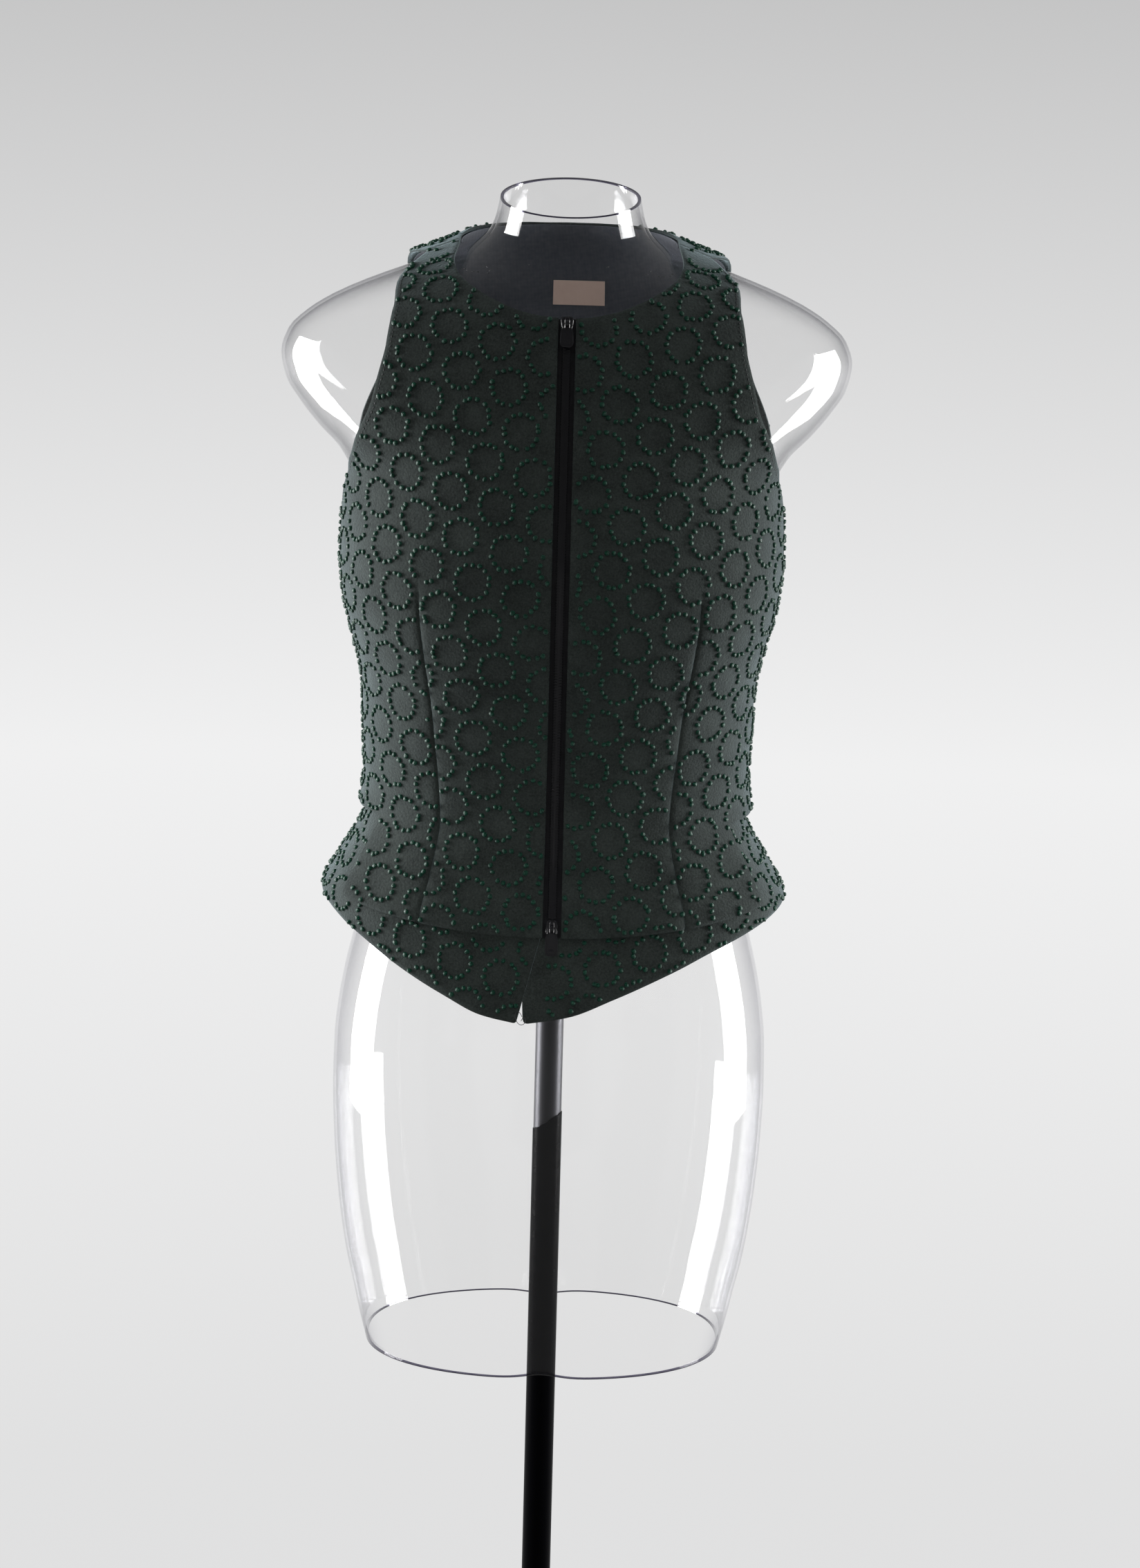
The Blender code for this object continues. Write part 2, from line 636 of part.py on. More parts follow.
def form_plate(finish):
    """The plate inside the waist that carries the torso."""
    turns = 360 * np.arange(FORM_SIDES) / FORM_SIDES
    level = np.full(FORM_SIDES, PLATE_BOTTOM + PLATE / 2)
    ring = form_offset(level, turns, -SHELL_WALL - PLATE_GAP)
    outline = [(x, y) for x, y in ring[:, :2]]
    bm = extruded(outline, PLATE_BOTTOM, PLATE_BOTTOM + PLATE)
    return finish_mesh(bm, "form_plate", finish)


def turned(name, profile, finish, sides=40):
    """A round piece from its profile of radius and height, bottom to top, closed on the axis."""
    turns = 2 * np.pi * np.arange(sides) / sides
    bm = bmesh.new()
    rings = [[bm.verts.new((r * math.cos(t), r * math.sin(t), z)) for t in turns] for r, z in profile]
    for low, high in zip(rings, rings[1:]):
        for k in range(sides):
            nxt = (k + 1) % sides
            bm.faces.new([low[k], low[nxt], high[nxt], high[k]])
    bm.faces.new(rings[0])
    bm.faces.new(rings[-1])
    return finish_mesh(bm, name, finish)


def stand(pole_finish, base_finish):
    """The pole with its flange under the plate, and the round foot."""
    foot = ((BASE_RADIUS, 0.0), (BASE_RADIUS, BASE - 2 * MM), (BASE_RADIUS - 2 * MM, BASE),
            (COLLAR_RADIUS + 4 * MM, BASE), (COLLAR_RADIUS, BASE + 4 * MM),
            (COLLAR_RADIUS - 6 * MM, COLLAR_HEIGHT))
    turned("stand_base", foot, base_finish)
    top = PLATE_BOTTOM - REST_GAP
    shaft = ((POLE_RADIUS, COLLAR_HEIGHT + REST_GAP), (POLE_RADIUS, top - FLANGE - 8 * MM),
             (FLANGE_RADIUS, top - FLANGE), (FLANGE_RADIUS, top))
    turned("stand_pole", shaft, pole_finish, 32)


def main():
    """Build every sub-part."""
    clear_scene()
    wool = material("felted_wool", (0.035, 0.042, 0.042), 0.95)
    tape = material("zip_tape", (0.008, 0.008, 0.009), 0.85)
    metal = material("zip_metal", (0.03, 0.03, 0.032), 0.3, 1.0)
    facing = material("facing", (0.015, 0.015, 0.02), 0.9)
    label = material("label", (0.22, 0.15, 0.13), 0.9)
    clear = material("clear_plastic", (0.95, 0.95, 0.97), 0.03, 0.0, 0.2)
    satin = material("satin_metal", (0.16, 0.16, 0.17), 0.3, 1.0)
    black = material("black_metal", (0.01, 0.01, 0.01), 0.35)

    form_shell(clear)
    form_plate(black)
    stand(satin, black)
    for side, hand in (("left", 1), ("right", -1)):
        front_panel("front_" + side, hand, wool)
        back_panel("back_" + side, hand, wool)
        under_skirt("under_skirt_" + side, hand, wool)
        across = [hand * x for x in (TAPE_INNER_X, FRONT_EDGE_X, TAPE_OUTER_X)]
        zip_strip("zip_tape_" + side, across, FRONT_HEM_CENTRE, FRONT_NECK, TAPE_DEPTH, TAPE, tape)
    half = SLIDER_LENGTH / 2 + REST_GAP
    zip_strip("zip_chain", [-CHAIN_HALF, CHAIN_HALF], BOTTOM_SLIDER_LEVEL + half,
              TOP_SLIDER_LEVEL - half, CHAIN_DEPTH, CHAIN, metal)
    for place, level, length in (("top", TOP_SLIDER_LEVEL, TOP_PULL_LENGTH),
                                 ("bottom", BOTTOM_SLIDER_LEVEL, BOTTOM_PULL_LENGTH)):
        slider("zip_slider_" + place, level, metal)
        pull("zip_pull_" + place, level, length, metal)
    neck_facing(facing)
    neck_label(label)


main()
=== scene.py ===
"""Sleeveless zip-front waistcoat of felted wool, worn by a clear limbless dress form on a pole stand.

Metres, +Z up, the front faces -Y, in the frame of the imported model. A place on the cloth is given by
its level (a height) and its angle round the body: 0 is the centre front, 90 the side and 180 the
centre back. A hand of 1 is the wearer's left and -1 the wearer's right. The dress form is a stack of
superellipse rings, and each cloth piece is worked out from the same rings, moved outwards.
"""
import math

import bpy
import numpy as np
from mathutils import Matrix, Vector


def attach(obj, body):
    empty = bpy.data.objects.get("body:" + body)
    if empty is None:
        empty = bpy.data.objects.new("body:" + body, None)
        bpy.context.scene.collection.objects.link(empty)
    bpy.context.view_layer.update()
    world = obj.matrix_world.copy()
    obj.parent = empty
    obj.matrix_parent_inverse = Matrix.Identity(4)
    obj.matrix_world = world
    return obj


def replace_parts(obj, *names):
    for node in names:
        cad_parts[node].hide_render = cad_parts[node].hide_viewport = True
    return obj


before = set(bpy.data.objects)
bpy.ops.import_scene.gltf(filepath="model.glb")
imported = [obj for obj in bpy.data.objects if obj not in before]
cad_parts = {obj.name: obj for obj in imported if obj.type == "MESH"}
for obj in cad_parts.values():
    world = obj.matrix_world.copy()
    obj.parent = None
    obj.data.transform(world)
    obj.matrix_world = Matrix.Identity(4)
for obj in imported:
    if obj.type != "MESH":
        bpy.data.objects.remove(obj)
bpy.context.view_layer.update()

MM = 0.001
TAU = 2 * math.pi

# Driving sizes: the felt's wall, half the gap of a seam, and the form's wall
CLOTH = 2.5 * MM
SEAM = 0.02 * MM
SHELL_WALL = 2.2 * MM

# Distances of the side and centre back seams from the middle, which turn half a gap into an angle
SIDE_SEAM_RADIUS = 0.10
BACK_SEAM_RADIUS = 0.08

# Levels of the waistcoat
WAIST = 1.068
UNDERARM = 1.250
FRONT_NECK = 1.4235
SIDE_NECK = 1.4625
SHOULDER_TIP = 1.4540
DART_TOP = 1.2455

# Angle of the shoulder seam, and half its gap, in degrees round the body
SHOULDER_ANGLE = 86.0
SHOULDER_SEAM = 0.03

# The neckline: the power of its climb round the body, and of the way its bend fades out below it
NECK_SCOOP = 2.2
NECK_BEND_FADE = 2.2

# Shares of the way from the centre to the side: the dart, the slash, and the end of the back neckline
DART_SHARE = 0.467
SLASH_SHARE = 0.733
BACK_NECK_SHARE = 0.66

# Rows of the cloth's grids: up the skirts and the bodice, and shares of the way up the yoke
SKIRT_ROWS = 24
SKIRT_RISE = np.concatenate([[0, 0.007, 0.018, 0.035], np.linspace(0.06, 0.95, SKIRT_ROWS - 5), [0.985]])
BODICE_ROWS = 44
YOKE_STEPS = np.concatenate([np.linspace(0, 0.955, 46), [0.972, 0.985, 0.994, 1.0]])
UNDER_RISE = np.concatenate([[0, 0.006, 0.015, 0.03], np.linspace(0.05, 0.985, 44), [1.0]])

# Relief of the felt: its rounded edges, the under skirt's round corner, its slow waves, how far it
# lifts off at the slash and the waist, and its turned-back strip
EDGE_ROUND = 0.6 * MM
EDGE_SOFT = 1.1 * MM
CORNER = 4.0 * MM
UNDER_SPAN = 0.205
WAVE = 0.10 * MM
LIFT = 2.4 * MM
LIFT_SHARE = 0.07
LIFT_RISE = 14 * MM
STRIP = 0.9 * MM

# The dart: a narrow groove in a wide one, the puckers beside it, and the cloth that it takes in
DART_DEEP, DART_NARROW = 1.25 * MM, 1.0 * MM
DART_SOFT, DART_WIDE = 0.45 * MM, 5.0 * MM
PUCKER, PUCKER_PITCH, PUCKER_WIDE = 0.22 * MM, 8.5 * MM, 6.0 * MM
DART_INTAKE = 0.12
DART_CLEAR = 1.7 * MM

# Rings of knots: the way from one ring to the next down and across (along u and v), and one ring
LATTICE_DOWN = np.array([-9.0, -31.0]) * MM
LATTICE_ACROSS = np.array([-33.6, -10.2]) * MM
RING_RADIUS = 12.1 * MM
RING_KNOTS = 15
RING_UNEVEN = 0.35 * MM
KNOT_HALF = 1.85 * MM
KNOT_SHAPE = np.array([1.05, 0.95, 0.78])
KNOT_UNEVEN = 0.07
KNOT_SUNK = 0.4 * MM
KNOT_MARGIN = 1.8 * MM
FRONT_ANCHORS = {"left": (46.5 * MM, 1.398), "right": (63.0 * MM, 1.358)}
SKIRT_ANCHORS = {"left": (2.6 * MM, 0.962), "right": (35.0 * MM, 0.964)}
BACK_ANCHOR = (20.0 * MM, 1.330)

# A table of lengths over half the coat, at even steps of level and angle
CHART_LEVELS = (0.920, 1.4756)
CHART_ANGLES = (-2.0, 182.1)
CHART_RISE = 1.5 * MM
CHART_TURN = 1.0

# Stitches beside the armholes
STITCH_PITCH = 3.4 * MM
STITCH_SIZE = (1.1 * MM, 0.32 * MM, 0.3 * MM)
STITCH_INSET = 3.6 * MM
STITCH_SUNK = 0.05 * MM

# The loose thread end: where its curl is centred, half its thickness, and how far it comes off
THREAD_LEVEL, THREAD_X = 0.9375, -22.5 * MM
THREAD_HALF = 0.22 * MM
THREAD_START, THREAD_OFF = 0.6 * MM, 1.2 * MM

# Dress form rings, in millimetres: level, half width, front depth, back depth, squareness,
# slope of the ring towards the front, depth of the cleft between the thighs
FORM_COLUMNS = ("level", "half", "front", "back", "square", "slope", "cleft")
FORM_RINGS = (
    (667, 129.5, 100, 101, 2.3, 0.00, 9.0),
    (689, 135.0, 102, 104, 2.3, 0.00, 7.0),
    (710, 139.5, 104, 107, 2.3, 0.00, 5.0),
    (732, 144.5, 106, 110, 2.3, 0.00, 3.0),
    (756, 148.5, 107, 112, 2.3, 0.00, 1.2),
    (785, 152.0, 108, 113, 2.3, 0.00, 0.0),
    (820, 154.8, 109, 114, 2.3, 0.00, 0.0),
    (860, 156.2, 109, 114, 2.3, 0.00, 0.0),
    (895, 155.5, 108, 112, 2.3, 0.00, 0.0),
    (920, 153.0, 107, 110, 2.3, 0.00, 0.0),
    (944, 149.0, 105, 107, 2.3, 0.00, 0.0),
    (968, 143.5, 102, 102, 2.3, 0.00, 0.0),
    (990, 138.0, 98, 96, 2.3, 0.00, 0.0),
    (1010, 133.5, 95, 91, 2.3, 0.00, 0.0),
    (1030, 130.5, 92, 87, 2.35, 0.00, 0.0),
    (1050, 128.8, 91, 85, 2.4, 0.00, 0.0),
    (1072, 128.5, 91, 84, 2.4, 0.00, 0.0),
    (1100, 129.5, 94, 86, 2.45, 0.00, 0.0),
    (1130, 131.5, 99, 89, 2.5, 0.00, 0.0),
    (1160, 134.5, 105, 93, 2.55, 0.00, 0.0),
    (1190, 141.0, 111, 98, 2.6, 0.00, 0.0),
    (1220, 148.5, 115, 102, 2.6, 0.00, 0.0),
    (1250, 151.5, 116, 105, 2.55, 0.00, 0.0),
    (1282, 150.5, 112, 107, 2.4, 0.00, 0.0),
    (1306, 150.5, 108, 107, 2.3, 0.00, 0.0),
    (1322, 158.5, 106, 106, 2.2, 0.00, 0.0),
    (1338, 174.0, 103, 105, 2.1, 0.00, 0.0),
    (1354, 187.0, 100, 103, 2.05, 0.00, 0.0),
    (1370, 197.0, 97, 100, 2.0, 0.00, 0.0),
    (1388, 200.6, 93, 96, 2.0, 0.00, 0.0),
    (1404, 195.5, 89, 92, 2.0, 0.00, 0.0),
    (1417, 182.5, 84, 88, 2.0, 0.00, 0.0),
    (1428, 165.0, 79, 83, 2.0, 0.02, 0.0),
    (1438, 143.0, 74, 78, 2.0, 0.04, 0.0),
    (1447, 118.0, 69, 73, 2.0, 0.07, 0.0),
    (1455, 93.0, 64, 67, 2.0, 0.10, 0.0),
    (1464, 70.0, 58, 60, 2.0, 0.14, 0.0),
    (1473, 58.0, 54, 55, 2.0, 0.17, 0.0),
    (1484, 52.5, 51, 52, 2.0, 0.18, 0.0),
    (1500, 49.0, 50, 50, 2.0, 0.18, 0.0),
)
CLEFT_SPREAD = 0.17

# How far the cloth stands off the form, in millimetres: its ease all round, and what the flare of
# the skirts adds at the sides, the front and the back
FLARE_COLUMNS = ("level", "ease", "side", "front", "back")
FLARE_RINGS = (
    (900, 3.0, 6.0, 3.0, 5.0),
    (940, 3.0, 13.0, 3.0, 6.0),
    (968, 3.0, 20.5, 3.2, 8.0),
    (990, 3.0, 27.0, 4.0, 10.0),
    (1006, 3.0, 30.5, 5.0, 11.0),
    (1012, 3.0, 29.6, 5.0, 10.5),
    (1024, 3.0, 24.4, 4.4, 8.5),
    (1041, 3.0, 16.0, 3.6, 6.0),
    (1057, 3.0, 7.8, 3.2, 4.0),
    (1068, 3.0, 3.8, 3.0, 3.0),
    (1098, 3.0, 2.7, 2.0, 1.8),
    (1130, 3.0, 1.8, 1.0, 0.8),
    (1160, 3.0, 0.0, 0.0, 0.0),
    (1400, 3.2, 0.0, 0.0, 0.0),
    (1430, 4.3, 0.0, 0.0, 0.0),
    (1455, 6.4, 0.0, 0.0, 0.0),
    (1475, 7.6, 0.0, 0.0, 0.0),
)

# Armholes: share of the way from the underarm to the shoulder, level, and angle of the front edge
# and of the back edge
ARMHOLE_COLUMNS = ("way", "level", "front", "back")
ARMHOLE_POINTS = (
    (0.00, 1250, 90.0, 90.0),
    (0.06, 1266, 88.5, 91.5),
    (0.14, 1284, 84.5, 95.5),
    (0.26, 1308, 77.5, 102.5),
    (0.42, 1337, 66.5, 113.5),
    (0.54, 1366, 61.0, 119.5),
    (0.66, 1396, 60.0, 121.0),
    (0.78, 1425, 63.8, 119.0),
    (0.88, 1443.5, 73.5, 108.5),
    (0.94, 1450, 79.5, 97.5),
    (1.00, 1454, 86.0, 86.0),
)

# Hem of the under skirt: angle from the centre front and level
SKIRT_HEM_COLUMNS = ("angle", "level")
SKIRT_HEM_POINTS = (
    (0, 932.0),
    (15, 937.5),
    (29, 950.0),
    (39, 960.5),
    (48, 971.0),
    (57, 982.0),
    (69, 993.5),
    (77, 999.5),
    (90, 1005.5),
)

# Hems: the front skirt's at the middle and its rise to the slash, and the back's at the side and
# its drop to the middle
FRONT_HEM_CENTRE = 0.993
FRONT_HEM_RISE = 17 * MM
BACK_HEM_SIDE = 1.0055
BACK_HEM_DROP = 16 * MM

# Angles between which the back goes in under the waist seam, beside the under skirt
TUCK_FULL_ANGLE = 96.0
TUCK_END_ANGLE = 118.0

# Under skirt: how deep it lies under the front, its slanting opening, which laps a little above
# SLIT_PART_LEVEL and parts below it, and the crease of the strip that is turned back beside it
SKIRT_DEPTH = 4.2 * MM
UNDER_WAIST_GAP = 0.9 * MM
SLIT_TOP_X = -3.0 * MM
SLIT_HEM_X = -24.0 * MM
SLIT_START = 1.010
SLIT_PART_LEVEL = 0.948
SLIT_LAP = 0.05 * MM
SLIT_GAPE = 5.0 * MM
CREASE_TOP, CREASE_TALL = 0.968, 0.035
CREASE_TOP_X, CREASE_HEM_X = -14.7 * MM, -4.0 * MM

# The zip, the same in size on both hands; the cord lies under the coils
FRONT_EDGE_X = 6.5 * MM
TAPE_INNER_X = 0.4 * MM
TAPE_OUTER_X = 13.0 * MM
TAPE = 0.7 * MM
TAPE_DEPTH = 3.0 * MM
TAPE_RIDGE, TAPE_RIDGE_X, TAPE_RIDGE_WIDE = 0.35 * MM, 4.2 * MM, 0.7 * MM
COIL_PITCH = 2.0 * MM
COIL_SIZE = (1.45 * MM, 0.78 * MM, 0.95 * MM)
COIL_X = 1.75 * MM
COIL_DEPTH = 1.35 * MM
CORD_HALF, CORD_DEPTH, CORD = 2.6 * MM, 1.5 * MM, 0.9 * MM
SLIDER_LENGTH = 11.0 * MM
SLIDER_HALF = 4.6 * MM
SLIDER_NARROW_HALF = 3.4 * MM
SLIDER_TOP = 1.6 * MM
SLIDER_UNDER = 2.3 * MM
TOP_SLIDER_LEVEL = 1.4190
BOTTOM_SLIDER_LEVEL = 1.0010
BOW_RADIUS = 1.75 * MM
BOW_AXIS = 3.1 * MM
BOW_HALF_WIDTH, BOW_HALF_THICK = 1.5 * MM, 0.45 * MM
PULL_WIRE = 0.6 * MM
PULL_LOW_HALF, PULL_HIGH_HALF, PULL_START = 4.9 * MM, 4.25 * MM, -3.0 * MM
PULL_POWER = 3.6
PAD_FROM_END, PAD_SIZE = 3.4 * MM, (1.7 * MM, 1.7 * MM, 0.42 * MM)
# Half the outline of a pull's eye, from the tab up and along its bar, in millimetres
EYE_SIDE = ((-2.75, -4.2), (-2.75, -2.2), (-2.72, -1.0), (-2.4, -0.35), (-1.7, 0.0))
TOP_PULL_LENGTH = 17.0 * MM
BOTTOM_PULL_LENGTH = 20.0 * MM

# Neck facing and blank label
FACING = 0.5 * MM
FACING_DEPTH = 3.3 * MM
FACING_START = 9 / 14
LABEL = 0.5 * MM
LABEL_DEPTH = 4.65 * MM
LABEL_WIDTH = 40 * MM
LABEL_HEIGHT = 16 * MM
LABEL_CENTRE_X = 8 * MM
LABEL_LEVEL = 1.4215

# The stand, and the fineness of the form's grid
POLE_RADIUS = 10 * MM
FLANGE_RADIUS = 32 * MM
FLANGE = 4 * MM
PLATE_BOTTOM = 1.018
PLATE = 4 * MM
PLATE_GAP = 0.6 * MM
BASE_RADIUS = 170 * MM
BASE = 8 * MM
COLLAR_RADIUS = 22 * MM
COLLAR_HEIGHT = 26 * MM
WRAP_TOP = 0.8305
WRAP_SLANT = 7 * MM
WRAP_JAG = 0.7 * MM
FORM_STEP = 5.2 * MM
ROUND_SIDES = 144

# The studio: tones of the pale sweep from low to high, and the share of it in front of the coat
SWEEP = ((0.0, 0.72), (0.25, 0.753), (0.482, 0.872), (0.715, 0.597), (0.833, 0.45), (1.0, 0.20))
FRONT_DIM = 0.28

# Soft lights: name, place, the point it is aimed at, width and height, and radiance
SOFTBOXES = (
    ("side_light_right", (-1.7, 0.25, 1.15), (0.0, 0.25, 1.15), (0.85, 1.6), 26.0),
    ("side_light_left", (1.7, 0.25, 1.15), (0.0, 0.25, 1.15), (0.85, 1.6), 19.0),
    ("top_light", (0.0, -1.2, 3.5), (0.0, 0.0, 1.2), (4.0, 3.0), 1.5),
    ("skirt_light", (0.0, -2.2, 1.6), (0.0, 0.0, 0.93), (0.8, 0.5), 0.66),
)
SKIRT_LIGHT_SPREAD = 25.0

# The camera: the point it looks at, its distance, how far it looks down and leans, and its lens
LOOKS_AT = (0.0101, 0.0, 1.081)
DISTANCE = 3.4
PITCH = 12.5
ROLL = 1.5
SENSOR, LENS = 36.0, 109.0


def between(keys, step):
    """The keys in their order, with even values no further apart than step set between them."""
    runs = [np.linspace(a, b, max(1, math.ceil((b - a) / step)) + 1)[:-1] for a, b in zip(keys, keys[1:])]
    return np.concatenate(runs + [[keys[-1]]])


FRONT_COLUMNS = between((0, 0.004, 0.01, 0.02, DART_SHARE - 0.03, DART_SHARE - 0.012, DART_SHARE - 0.005,
                         DART_SHARE, DART_SHARE + 0.005, DART_SHARE + 0.012, DART_SHARE + 0.03,
                         SLASH_SHARE - 0.01, SLASH_SHARE, 0.98, 0.99, 0.996, 1.0), 0.026)
BACK_COLUMNS = between((0, 0.004, 0.01, 0.02, 0.98, 0.99, 0.996, 1.0), 0.026)
UNDER_COLUMNS = between((0, 0.004, 0.01, 0.018, 0.03, 0.98, 0.99, 0.996, 1.0), 0.022)


def column(rows, columns, name):
    """One named column of a table, as an array."""
    return np.array([row[columns.index(name)] for row in rows], float)


def smooth_column(rows, columns, name, key, at):
    """A column read at any key value, on a cubic that keeps the table's ups and downs."""
    x = column(rows, columns, key)
    y = column(rows, columns, name)
    step = np.diff(x)
    slope = np.diff(y) / step
    inner = np.where(slope[:-1] * slope[1:] > 0, 2 * slope[:-1] * slope[1:], 0.0)
    inner = inner / np.where(inner == 0, 1.0, slope[:-1] + slope[1:])
    tangent = np.concatenate([slope[:1], inner, slope[-1:]])
    at = np.clip(np.asarray(at, float), x[0], x[-1])
    i = np.clip(np.searchsorted(x, at) - 1, 0, len(step) - 1)
    t = (at - x[i]) / step[i]
    start = (1 + 2 * t) * (1 - t) ** 2 * y[i] + t * (1 - t) ** 2 * step[i] * tangent[i]
    return start + t * t * (3 - 2 * t) * y[i + 1] + t * t * (t - 1) * step[i] * tangent[i + 1]


def form_ring(name, level):
    """A column of the form's rings at a level in metres."""
    return smooth_column(FORM_RINGS, FORM_COLUMNS, name, "level", level / MM)


def stand_off(name, level):
    """A column of the cloth's distances from the form, in metres."""
    return smooth_column(FLARE_RINGS, FLARE_COLUMNS, name, "level", level / MM) * MM


def form_point(level, angle):
    """The form's outside: a superellipse ring at each level, with a cleft low down at front and back."""
    turn = np.radians(angle)
    side, ahead = np.sin(turn), np.cos(turn)
    depth = np.where(ahead > 0, form_ring("front", level), form_ring("back", level))
    square = form_ring("square", level)
    across = np.abs(side) / form_ring("half", level)
    along = np.abs(ahead) / depth
    radius = (across ** square + along ** square) ** (-1 / square)
    radius = radius - form_ring("cleft", level) * np.exp(-((side / CLEFT_SPREAD) ** 2))
    x, y = radius * side * MM, -radius * ahead * MM
    return np.stack([x, y, level + form_ring("slope", level) * y], axis=-1)


def normal_of(surface, level, angle):
    """The outward normal of a surface of level and angle, from its slopes."""
    rise, turn = 0.4 * MM, 0.2
    low = np.maximum(level - rise, FORM_RINGS[0][0] * MM)
    high = np.minimum(level + rise, FORM_RINGS[-1][0] * MM)
    up = surface(high, angle) - surface(low, angle)
    around = surface(level, angle + turn) - surface(level, angle - turn)
    normal = np.cross(around, up)
    return normal / np.linalg.norm(normal, axis=-1, keepdims=True)


def form_offset(level, angle, out):
    """The form's outside moved outwards."""
    out = np.broadcast_to(np.asarray(out, float), np.shape(angle))[..., None]
    return form_point(level, angle) + normal_of(form_point, level, angle) * out


def coat_point(level, angle):
    """The outside of the cloth: the form plus ease, wall and the flare of the skirts."""
    turn = np.radians(angle)
    side, ahead = np.sin(turn), np.cos(turn)
    along = np.where(ahead > 0, stand_off("front", level), stand_off("back", level))
    out = stand_off("side", level) * side ** 2 + along * ahead ** 2
    outward = np.stack([side, -ahead, np.zeros_like(side)], axis=-1)
    return form_offset(level, angle, stand_off("ease", level) + CLOTH) + outward * out[..., None]


def coat_inside(level, angle, depth):
    """The cloth's outside moved inwards by a depth."""
    depth = np.broadcast_to(np.asarray(depth, float), np.shape(angle))[..., None]
    return coat_point(level, angle) - normal_of(coat_point, level, angle) * depth


def seam_angle(radius):
    """The angle taken up by half a seam's gap at a distance from the middle."""
    return math.degrees(SEAM / radius)


def angle_at(x, level):
    """The angle of a place near the centre front that is x from the middle."""
    depth = form_ring("front", level) * MM + stand_off("ease", level) + CLOTH
    return np.degrees(np.arctan2(x, depth))


# Meshes from arrays

def unit(vectors):
    """Vectors made one long."""
    return vectors / np.linalg.norm(vectors, axis=-1, keepdims=True)


def new_piece(name, points, faces, finishes, slot, body="root", sharp=40.0, second=None):
    """A riding piece from an array of points and a list of face arrays, each of one count of corners.

    The faces that second marks take the second finish.
    """
    points = np.asarray(points, np.float32).reshape(-1, 3)
    corners = np.concatenate([group.ravel() for group in faces]).astype(np.int32)
    counts = np.concatenate([np.full(len(group), group.shape[1]) for group in faces])
    mesh = bpy.data.meshes.new(name)
    mesh.vertices.add(len(points))
    mesh.vertices.foreach_set("co", points.ravel())
    mesh.loops.add(len(corners))
    mesh.loops.foreach_set("vertex_index", corners)
    mesh.polygons.add(len(counts))
    mesh.polygons.foreach_set("loop_start", (np.cumsum(counts) - counts).astype(np.int32))
    for finish in finishes:
        mesh.materials.append(finish)
    if second is not None:
        mesh.polygons.foreach_set("material_index", second.astype(np.int32))
    mesh.update(calc_edges=True)
    mesh.shade_smooth()
    mesh.set_sharp_from_angle(angle=math.radians(sharp))
    made = bpy.data.objects.new(name, mesh)
    bpy.context.collection.objects.link(made)
    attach(made, body)
    return made


def grid_cells(rows, columns, wrap=False):
    """The four corners of every cell of a grid, the last column joined to the first if it wraps."""
    index = np.arange(rows * columns).reshape(rows, columns)
    if wrap:
        index = np.concatenate([index, index[:, :1]], axis=1)
    return np.stack([index[:-1, :-1], index[:-1, 1:], index[1:, 1:], index[1:, :-1]], axis=-1)


def closed_wall(outside, inside, keep=None, wrap=False):
    """One wall between two grids of points: both sides, and a rim along each edge that one cell has.

    Returns the points, the faces, and how many of the faces are rims (they come last).
    """
    rows, columns = outside.shape[:2]
    cells = grid_cells(rows, columns, wrap)
    cells = cells.reshape(-1, 4) if keep is None else cells[keep]
    edges = np.concatenate([cells[:, [k, (k + 1) % 4]] for k in range(4)])
    _, place, count = np.unique(np.sort(edges, axis=1), axis=0, return_inverse=True, return_counts=True)
    rim = edges[count[place.ravel()] == 1]
    shift = rows * columns
    rims = np.stack([rim[:, 1], rim[:, 0], rim[:, 0] + shift, rim[:, 1] + shift], axis=-1)
    faces = np.concatenate([cells, cells[:, ::-1] + shift, rims])
    used, faces = np.unique(faces, return_inverse=True)
    points = np.concatenate([outside.reshape(-1, 3), inside.reshape(-1, 3)])[used]
    return points, [faces.reshape(-1, 4)], len(rims)


def lofted(loops):
    """Loops of points joined in their order, with a fan to the middle of the first and of the last."""
    loops = np.asarray(loops, float)
    count, around = loops.shape[:2]
    quads = grid_cells(count, around, wrap=True).reshape(-1, 4)
    step = np.arange(around)
    after = (step + 1) % around
    last = (count - 1) * around
    low_fan = np.stack([after, step, np.full(around, count * around)], axis=-1)
    high_fan = np.stack([step + last, after + last, np.full(around, count * around + 1)], axis=-1)
    middles = np.stack([loops[0].mean(axis=0), loops[-1].mean(axis=0)])
    return np.concatenate([loops.reshape(-1, 3), middles]), [quads, low_fan, high_fan]


def swept(path, width, height, across, sides=10):
    """An ellipse of half size width along a fixed direction and height the other way, along a path."""
    path = np.asarray(path, float)
    across = unit(np.asarray(across, float))
    rise = unit(np.cross(unit(np.gradient(path, axis=0)), across))
    turn = TAU * np.arange(sides) / sides
    ring = across * (width * np.cos(turn))[None, :, None]
    ring = ring + rise[:, None] * (height * np.sin(turn))[None, :, None]
    return lofted(path[:, None] + ring)


def bead_shape(segments, rings):
    """A unit ball of few faces: rings of points between two poles."""
    polar = math.pi * np.arange(1, rings) / rings
    turn = TAU * np.arange(segments) / segments
    x = np.sin(polar)[:, None] * np.cos(turn)
    y = np.sin(polar)[:, None] * np.sin(turn)
    z = np.repeat(-np.cos(polar)[:, None], segments, axis=1)
    points, faces = lofted(np.stack([x, y, z], axis=-1))
    points[-2:] = (0, 0, -1), (0, 0, 1)
    return points, faces


